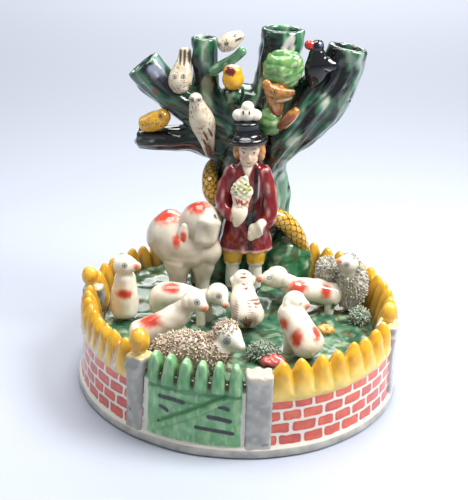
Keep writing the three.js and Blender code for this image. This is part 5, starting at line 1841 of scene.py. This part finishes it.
@dataclass
class Flock:
    """The lambs and rough-coated sheep round the shepherd."""

    def sheep(self) -> list[Sheep]:
        """The eight sheep with their marks, each placed by the photograph."""
        return [
            Sheep("lamb_far_left", [[-67.9, 3, 37, 9.0], [-67.6, 2, 47, 8.4], [-67.1, 0.6, 58, 6.4]],
                  (-67.2, 0.2, 66, 6.6), (-59.8, -2, 66.4, 2.9), (-66.4, -6.0, 68.1), (0.3, 0, 1),
                  (((-67.2, -5.1, 49.8), (6.6, 6, 4.0)),), (-59.4, -4.3, 67.0),
                  ((-71.4, -1.0, 66.4, 2.4, 3.4, 4.2),), (), CREAM, Coat.SMOOTH, 11),
            Sheep("lamb_left", [[-47, 6, 37, 7.2], [-45.4, 5, 44.4, 8], [-36, 4.4, 46, 7.6], [-25, 2, 44, 7],
                                [-17, -0.6, 48, 5.2]], (-13, -2, 50.4, 6.8), (-8.7, -7.4, 46.4, 2.8),
                  (-11.9, -8.6, 51.6), (-0.2, 0, 1), (((-39.8, 0.5, 51.9), (7.6, 7, 3.8)),), (-8.0, -9.8, 45.8),
                  ((-17.6, -4.8, 50.0, 2.6, 2.6, 3.9),), ((-22.5, -3), (-19, 3)), CREAM, Coat.SMOOTH, 21),
            Sheep("lamb_front_left", [[-55.4, -33, 39, 8.0], [-45.2, -32, 43.4, 8], [-34.7, -31, 50, 7.4],
                                      [-29, -31, 56, 5.6]], (-25.2, -31.8, 60.6, 6.8), (-19.8, -36, 58, 3),
                  (-23.3, -38.0, 61.8), (-0.2, 0, 1), (((-49.0, -35.1, 48.6), (9.6, 8, 5.2)),), (-18.6, -38.4, 58),
                  ((-29.4, -35.0, 59.8, 2.8, 2.8, 4.2),), ((-32, -33), (-39, -36)), CREAM, Coat.SMOOTH, 31),
            Sheep("ram_front", [[-39.4, -57, 40, 8.6, 10.8], [-28.7, -58, 41.4, 9.2, 12.2], [-17, -57, 41, 9.0, 11.2],
                                [-10, -56, 45.4, 7.6, 8.4]], (-6, -55, 50.6, 8.2), (0.6, -59.6, 47.4, 3.4), None,
                  (0, 0, 1), (), None, ((-14.0, -58.4, 51.2, 2.2, 2.0, 3.2),), (), RAM_WOOL, Coat.CRUMBS, 41, white_face),
            Sheep("lamb_middle", [[5, -8.4, 40, 10.2], [2.6, -2, 46.6, 8.6], [1.9, 2.4, 51, 7.2]],
                  (1.4, 5.6, 56, 6.8), (1, 11, 55, 4.4), None, (0, 0, 1), (), None,
                  ((-4.8, 4.6, 55.6, 1.5, 2.4, 3.0), (7.8, 7.8, 55.2, 1.5, 2.4, 3.0)), (), CREAM, Coat.SMOOTH, 51,
                  striped_back),
            Sheep("lamb_right", [[56.6, 20.4, 41.4, 7.8], [46, 19, 44.6, 7.6], [34.3, 17.4, 46, 7.6], [27, 15.6, 51, 6]],
                  (21.8, 14, 55, 7.2), (12, 11, 54.8, 2.8), (16.9, 7.6, 57.2), (0.3, 0, 1),
                  (((34.4, 11.4, 50), (8.4, 7, 5.0)), ((51.7, 13.6, 47.0), (4.4, 6, 6.2))), (11.2, 8.9, 55.8),
                  ((26.0, 9.8, 54.6, 3.0, 2.6, 4.4),), ((54.6, 17), (34, 15)), CREAM, Coat.SMOOTH, 61, leg_marks),
            Sheep("lamb_front_right", [[38.6, -40, 39, 9.6], [31.8, -35, 48.2, 9], [27.8, -30.6, 55, 7.8]],
                  (30, -29, 59.6, 6.8), (36, -29.6, 58.4, 3), None, (0.2, 0, 1),
                  (((24.3, -38.1, 50.9), (4.6, 6, 4.4)), ((31.4, -44.7, 45.4), (4.4, 6, 6.4)),
                   ((42.2, -42.6, 47.9), (3.4, 6, 7.5))), (37.8, -32.2, 58),
                  ((26.2, -33.2, 58.8, 2.4, 2.4, 3.6),), ((28, -33),), CREAM, Coat.SMOOTH, 71, faint_eye),
            Sheep("ewe_rough", [[67.2, 23.4, 39, 8.2], [68, 22, 50, 8.8], [65.6, 20, 58, 6.8]],
                  (64.2, 18.6, 62.8, 6.6), (58.4, 14, 66, 2.8), (62.7, 12.2, 65.2), (-0.2, 0, 1), (), (57.8, 12.2, 68),
                  (), (), "#CECBC0", Coat.CRUMBS, 81),
        ]

    def build(self) -> None:
        """Builds every sheep, the rear puff of rough wool, the scatter and the stones."""
        for sheep in self.sheep():
            sheep.build()
        puff = Shell.joined([Path([[53.6, 29, 37, 6.4], [53.4, 28.4, 48, 6.4], [53.2, 28, 56, 6.6]]).limb(28, 26, 0.6, 0.8)])
        base = Piece("rough_puff", puff).fuse(0.96, 3)
        brush = Brush(base, "#BDB9A6")
        brush.done()
        Shreds("rough_puff_wool", base, None, None, "#CECBC0", 91, "#A5A296", 1.15, 2.4).build()
        base.finish(GlazedPearlware(name="glaze_rough_puff").material())
        for name, place, halves, seed in (("moss_right", (71.3, 5, 34.2), (5.4, 5.4, 5.6), 92),
                                          ("moss_front", (13.5, -41, 33.6), (8.6, 6.0, 5.8), 93)):
            base = Piece(name, ball(place, halves, sides=30, rows=20))
            brush = Brush(base, "#6B7D68")
            brush.done()
            Shreds(name + "_loops", base, None, None, "#A4B09E", seed, "#64806C", 1.15, 2.4, 0.52).build()
            base.finish(GlazedPearlware(name=f"glaze_{name}").material())
        for name, place, halves, tone, edge in (("red_pebble", (18.4, -46.6, 32.2), (7.4, 6.4, 3.8), "#C6605A", "#A8453C"),
                                                ("yellow_pebble", (50.3, -8, 32), (5.6, 4.2, 3.4), "#D2A75C", "#C08A3C")):
            pebble = Piece(name, ball(place, halves, sides=40, rows=26))
            places = pebble.points()
            pebble.move(places + pebble.normals() * (0.4 * cloud(places, 4.0, 94) - 0.2)[:, None])
            brush = Brush(pebble, tone)
            brush.lay(0.7 * smooth_step(cloud(brush.places, 3.5, 95), 0.0, 0.8), edge)
            brush.done()
            pebble.finish(GlazedPearlware(name=f"glaze_{name}").material())


@dataclass
class Bird:
    """A small hand-modelled bird: one tapering roll with lumps on it, painted eyes, strokes and speckles."""

    name: str
    ground: str
    body: Stops
    lumps: tuple[tuple[tuple[float, float, float], tuple[float, float, float]], ...] = ()
    eyes: tuple[tuple[float, float, float], ...] = ()
    strokes: tuple[tuple[tuple[tuple[float, float, float], ...], float, str], ...] = ()
    patches: tuple[tuple[tuple[float, float, float], float, str], ...] = ()
    speckle: str | None = None
    hint: tuple[float, float, float] = (1.0, 0.0, 0.0)
    gloss: float = 0.11
    seed: int = 1

    def build(self) -> None:
        """Fuses the roll and lumps, then paints."""
        shells = [Path(self.body, self.hint).limb(34, 36, 0.7, 0.7)] if len(self.body) else []
        shells += [ball(centre, halves, sides=28, rows=18) for centre, halves in self.lumps]
        bird = Piece(self.name, Shell.joined(shells)).fuse(0.50, 3)
        brush = Brush(bird, self.ground)
        p = brush.places
        if self.speckle:
            brush.lay(0.6 * smooth_step(cloud(p, 6.0, self.seed), 0.0, 1.0), self.speckle)
            dots = smooth_step(cloud(p, 1.3, self.seed + 1), 0.62, 0.85) * smooth_step(cloud(p, 8.0, self.seed + 2), -0.6, 0.2)
            brush.lay(0.85 * dots, "#4E382C")
        for centre, radius, tone in self.patches:
            brush.patch(centre, radius, tone, 0.5, 0.12)
        for path, width, tone in self.strokes:
            brush.stroke(path, 1.25 * width, tone, 0.4, True, 0.1)
        for eye in self.eyes:
            away = np.linalg.norm((p - np.array(eye)) * [1, 0.3, 1], axis=1)
            brush.lay(smooth_step(abs(away - 1.15), 0.34, 0.16) * 0.85, "#4A4442")
            brush.lay(smooth_step(away, 0.75, 0.5), "#151216")
        # Darker in the hollows: pooled glaze and painted shade.
        brush.pool("#8A7C68", 0.25, 0.35 if self.speckle else 0.0)
        brush.done()
        bird.finish(GlazedPearlware(f"glaze_{self.name}", self.gloss, 0.08).material())


@dataclass
class Crown:
    """What lives among the branches: birds, leaves with a fox, a bud in a cup and a twig."""

    def birds(self) -> list[Bird]:
        """The six birds with their paint, each placed by the photograph."""
        tail, maroon = "#54463C", "#5A1E24"
        return [
            Bird("bird_upper_left", "#D2C6AE",
                 [[-36.2, 50, 180.6, 3.6, 2.8], [-36.6, 49, 175, 4.4, 3.4], [-38, 46.6, 167.6, 6.6, 5.4],
                  [-38.8, 44.8, 162.8, 6.9, 5.8], [-38.4, 44, 159.6, 5.0, 4.4]],
                 eyes=((-41.6, 39.8, 167.2), (-36.6, 39.6, 167.6)),
                 strokes=((((-38.6, 46.4, 182), (-38.8, 45.4, 173.5)), 1.2, tail),
                          (((-36.2, 46.2, 182.6), (-36.4, 45.2, 173)), 1.3, tail),
                          (((-33.9, 46.6, 181.6), (-33.6, 45.8, 174)), 1.2, tail)), speckle="#B7A485", seed=401),
            Bird("bird_centre", "#D8CDB6",
                 [[-20.4, 41, 121.6, 2.6, 2.2], [-22.2, 41, 130, 4.8, 4.0], [-25.2, 40.6, 141, 7.6, 6.2],
                  [-27.8, 39.8, 149.4, 5.6, 5.0], [-29, 39, 154, 4.0, 4.0]],
                 lumps=(((-29.2, 38.8, 154.8), (4.1, 4.1, 4.0)),),
                 eyes=((-31.2, 35.6, 155.4), (-27.4, 35.3, 155.7)),
                 strokes=((((-24.4, 34.4, 137), (-21.4, 35.2, 131)), 1.1, maroon),
                          (((-21.6, 35.0, 139), (-18.9, 36.2, 133)), 1.1, maroon),
                          (((-24.6, 35.4, 132), (-22.0, 36.6, 126.5)), 1.1, maroon),
                          (((-21.8, 37.4, 128), (-20.9, 38.2, 124), (-20.2, 38.6, 120.4)), 3.4, "#5E3A34")),
                 speckle="#B9A287", seed=411),
            Bird("bird_on_twig", "#D6C9B0",
                 [[-4.2, 45, 191.4, 2.8, 2.4], [-7, 44.4, 190, 4.2, 3.8], [-11, 43.2, 187.6, 5.2, 4.8],
                  [-14.4, 42.6, 185.8, 4.4, 4.2]],
                 eyes=((-12.2, 38.5, 187.4), (-16.6, 39.6, 186.6)),
                 strokes=((((-8.4, 40.4, 191.4), (-4.2, 42, 192.8)), 1.2, tail),
                          (((-7.6, 40.4, 189), (-3.6, 42.4, 190.4)), 1.2, tail)),
                 hint=(0.0, 0.0, 1.0), speckle="#B7A485", seed=421),
            Bird("bird_low_left", "#DDAA34",
                 [[-59.6, 47.6, 136.8, 5.0], [-55, 46.8, 138.4, 5.9], [-50.4, 46.2, 140.6, 5.7], [-47.8, 45.8, 142.8, 4.6]],
                 eyes=((-49.8, 40.9, 143.4),), patches=(((-47.5, 42, 144), 5.0, "#B5862A"),),
                 hint=(0.0, 0.0, 1.0), speckle="#B8862A", seed=431),
            Bird("bird_on_hat", "#E4DCCA", [],
                 lumps=(((-3.7, 30.8, 148.6), (4.2, 4.0, 3.6)), ((5.2, 31.0, 148.8), (4.2, 4.0, 3.5)),
                        ((0.8, 30.6, 149.6), (5.2, 4.8, 4.8)), ((1.0, 30.4, 153.4), (3.8, 3.8, 3.6))),
                 strokes=((((-1.6, 26.3, 152), (-1.4, 26.2, 150)), 0.9, "#3A3230"),
                          (((2.0, 26.1, 152.2), (2.0, 26.0, 150.2)), 0.9, "#3A3230")), seed=441),
            Bird("black_bird", "#0F0F15",
                 [[38.4, 45, 163.4, 3.2, 3.0], [39.6, 44, 170, 6.6, 5.4], [40.4, 43.4, 176.6, 7.2, 5.8],
                  [39.6, 43.2, 183, 4.8, 4.4]],
                 lumps=(((39.4, 43.0, 187.0), (4.1, 4.1, 4.2)), ((35.0, 41.6, 187.8), (3.1, 2.8, 2.9)),
                        ((45.0, 41.4, 176.6), (5.2, 3.6, 5.0)), ((49.0, 41.2, 176.4), (2.8, 2.4, 3.0))),
                 # The slate-blue dab on the head, beside the red comb, is a painted sheen: painted highlight.
                 patches=(((34.2, 40, 188), 3.6, "#B8281E"), ((41.4, 40, 188.6), 2.0, "#4A5468")),
                 strokes=((((46, 37.8, 180), (49.6, 39, 178)), 0.7, "#C9CEDA"),
                          (((44, 37.8, 175), (48, 39, 174)), 0.6, "#9AA2B4")), gloss=0.05, seed=451),
        ]

    def build(self) -> None:
        """Builds the birds, then the leaves and fox, then the cup and twig."""
        for bird in self.birds():
            bird.build()
        self.leaves()
        self.fox()
        self.cup()

    def leaves(self) -> None:
        """Two bunches of leaves where the trunk forks, layered like scallops.

        The skin rises by 0.6 |sin(pi n)|^0.7, where n counts layers 5.2 mm high that wave round the bunch.
        """
        leaves = Piece("leaves", Shell.joined([
            ball((20.2, 41.6, 173.2), (11.2, 7.6, 11.8), sides=48, rows=34), ball((26.6, 41.0, 175.2), (5.6, 5.8, 8.6)),
            ball((14.8, 40.6, 143.2), (6.8, 6.8, 8.8), sides=36, rows=26), ball((12.0, 40, 140.4), (3.6, 4.6, 4.8))])).fuse(0.54, 3)
        places = leaves.points()
        around = np.arctan2(places[:, 0] - np.where(places[:, 2] > 158, 20.0, 15.0), 46 - places[:, 1])
        layer = places[:, 2] / 5.2 + 0.1 * np.sin(around * 2.4 + 1) + 0.2 * cloud(places, 18.0, 463)
        scallop = abs(np.sin(math.pi * layer)) ** 0.7
        leaves.move(places + leaves.normals() * (0.6 * scallop + 0.3 * cloud(places, 7.0, 464) - 0.3)[:, None])
        brush = Brush(leaves, "#739F5A")
        brush.lay(0.8 * smooth_step(cloud(brush.places, 9.0, 461), 0.0, 0.8), "#4C8C4C")
        brush.lay(0.6 * smooth_step(cloud(brush.places, 6.0, 462), 0.5, 1.1), "#C8D5A8")
        # Dark green in the grooves between the layers: painted shade.
        brush.lay(0.6 * smooth_step(scallop, 0.45, 0.05), "#346F3E")
        # Paler on the ridges: painted highlight.
        brush.paint_ridge_highlight("#CFDAB0", 0.4, 0.3)
        brush.done()
        leaves.finish(GlazedPearlware("leaf_glaze", 0.07, 0.16, 4.0).material())

    def fox(self) -> None:
        """A little fox looking out of the leaves: broad brow, pointed snout, pale jaw, and a brush of a tail."""
        shells = [
            ball((16.0, 37.0, 161.8), (6.0, 5.2, 4.8), sides=32, rows=22),
            ball((11.6, 37.0, 165.2), (3.0, 2.6, 3.4), sides=22, rows=14),
            ball((19.4, 37.2, 165.4), (2.8, 2.4, 2.8), sides=22, rows=14),
            Path([[17, 35.2, 161.2, 4.4], [22.2, 33.6, 161.4, 3.0], [26.8, 32.6, 162.4, 1.5]]).limb(28, 24, 0.7, 0.8),
            Path([[17, 35.6, 157.8, 3.0], [21.6, 34.4, 158.0, 2.3], [25.4, 33.8, 159.0, 1.3]]).limb(22, 18, 0.7, 0.8),
            Path([[15.4, 38.2, 160, 5.0], [17.2, 38.0, 154, 4.4], [17.8, 38.0, 148.6, 3.4]]).limb(26, 20),
            Path([[20.8, 36.4, 140.6, 2.2], [22.6, 35.0, 143.6, 3.3], [25.8, 34.4, 147.4, 3.5], [29.0, 34.4, 151.0, 2.5]]).limb(
                26, 28, 0.7, 0.8),
        ]
        fox = Piece("fox", Shell.joined(shells)).fuse(0.48, 3)
        brush = Brush(fox, "#B47A3E")
        p = brush.places
        brush.lay(0.7 * smooth_step(cloud(p, 4.0, 471), 0.0, 0.9), "#7E4A22")
        brush.lay(smooth_step(p[:, 2] + 0.3 * (p[:, 0] - 15), 153.5, 151.5) * 0.85, "#85402C")
        brush.stroke([(10.0, 34.4, 167.4), (11.6, 31.8, 163.4), (13.4, 31.6, 158.4)], 2.0, "#E6DECB", 0.6)
        brush.stroke([(17, 32.4, 156.8), (21.6, 31.4, 157.4), (25.8, 32.2, 158.6)], 2.0, "#E6DECB", 0.6)
        brush.stroke([(15.4, 33.4, 154.0), (17.0, 33.4, 149.6)], 2.4, "#DAB38A", 0.8)
        brush.stroke([(23.2, 33.2, 140.8), (27.2, 32.4, 144.8), (31.0, 33.2, 150.0)], 1.2, "#E3D5BE", 0.6)
        brush.patch((15.6, 31.7, 162.8), (1.9, 3, 1.5), "#4E2E1A", 0.35, 0.0)
        brush.patch((15.6, 31.7, 162.8), (1.3, 3, 1.1), "#C99A4C", 0.35, 0.0)
        brush.patch((15.8, 31.7, 162.8), (0.75, 3, 0.8), "#15100E", 0.35, 0.0)
        brush.patch((27.6, 32.2, 162.6), 1.2, "#1C1614", 0.4, 0.0)
        # Darker in the hollows: pooled glaze and painted shade.
        brush.pool("#4A2412", 0.25, 0.6)
        brush.done()
        fox.finish(GlazedPearlware("fox_glaze", 0.07, 0.12).material())

    def cup(self) -> None:
        """A yellow bud with a maroon eye and a pale rim, in a dark cup; beside it the bird's green twig."""
        cup = Piece("cup", Path([[-5.6, 49, 150, 6.6], [-7.2, 44, 159.4, 6.2]]).limb(34, 24, 0.4, 0.5))
        brush = Brush(cup, "#1A2F26")
        brush.lay(0.8 * smooth_step(cloud(brush.places, 6.0, 481), 0.1, 0.8), "#3E7A55")
        brush.lay(0.5 * smooth_step(cloud(brush.places, 5.0, 482), 0.4, 0.9), "#A7B79A")
        brush.done()
        cup.finish(GlazedPearlware("cup_glaze", 0.06).material())
        shells = [ball((-8.0, 42.2, 166.6), (6.3, 6.0, 6.4), sides=40, rows=28),
                  ball((-8.4, 42.0, 171.2), (5.6, 5.2, 4.2), sides=36, rows=22)]
        bud = Piece("bud", Shell.joined(shells)).fuse(0.54, 3)
        brush = Brush(bud, "#DFA624")
        brush.lay(0.7 * smooth_step(brush.places[:, 2] + cloud(brush.places, 4.0, 483), 163.4, 160.0), "#B8761C")
        brush.lay(smooth_step(brush.places[:, 2], 173.8, 174.6), "#E2D9C4")
        brush.patch((-9.8, 37.6, 172.2), (3.6, 4, 3.0), "#6E1A1E", 0.35, 0.15)
        brush.done()
        bud.finish(GlazedPearlware("bud_glaze", 0.08).material())
        twig = Piece("twig", Path([[-20, 48, 169.6, 3.2], [-14.6, 46.4, 173.4, 3.0], [-7.4, 44.4, 178.4, 2.8],
                                   [-3.2, 43.4, 182.6, 2.8]]).limb(26, 34))
        brush = Brush(twig, "#5F9467")
        brush.lay(0.8 * smooth_step(cloud(brush.places, 6.0, 484), 0.0, 0.8), "#2C6244")
        brush.lay(0.6 * smooth_step(cloud(brush.places, 5.0, 485), 0.5, 0.9), "#B9CDB0")
        brush.done()
        twig.finish(GlazedPearlware("twig_glaze", 0.07).material())


@dataclass
class SpillVase:
    """The whole vase, part by part."""

    parts: tuple[Any, ...] = (
        FoldWall(), Crest(), Gateposts(), Gate(), Green(), HollowTree(), Snake(), Crown(), Shepherd(), Ewe(), Flock()
    )

    def build(self) -> None:
        """Builds and dresses every part in turn."""
        for part in self.parts:
            part.build()
            log.info("%s done", type(part).__name__)


def plain(value: Any) -> Any:
    if isinstance(value, dict):
        return {str(key): plain(item) for key, item in value.items()}
    if isinstance(value, (str, bool, int)) or value is None:
        return value
    if isinstance(value, float):
        return value
    return [plain(item) for item in value]


def main() -> None:
    """Loads the frame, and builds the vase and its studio."""
    logging.basicConfig(level=logging.INFO, format="%(name)s: %(message)s")
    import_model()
    before = plain(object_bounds())
    SpillVase().build()
    Studio().build()
    {"loaded": before, "dressed": plain(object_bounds())}


if __name__ == "__main__":
    main()
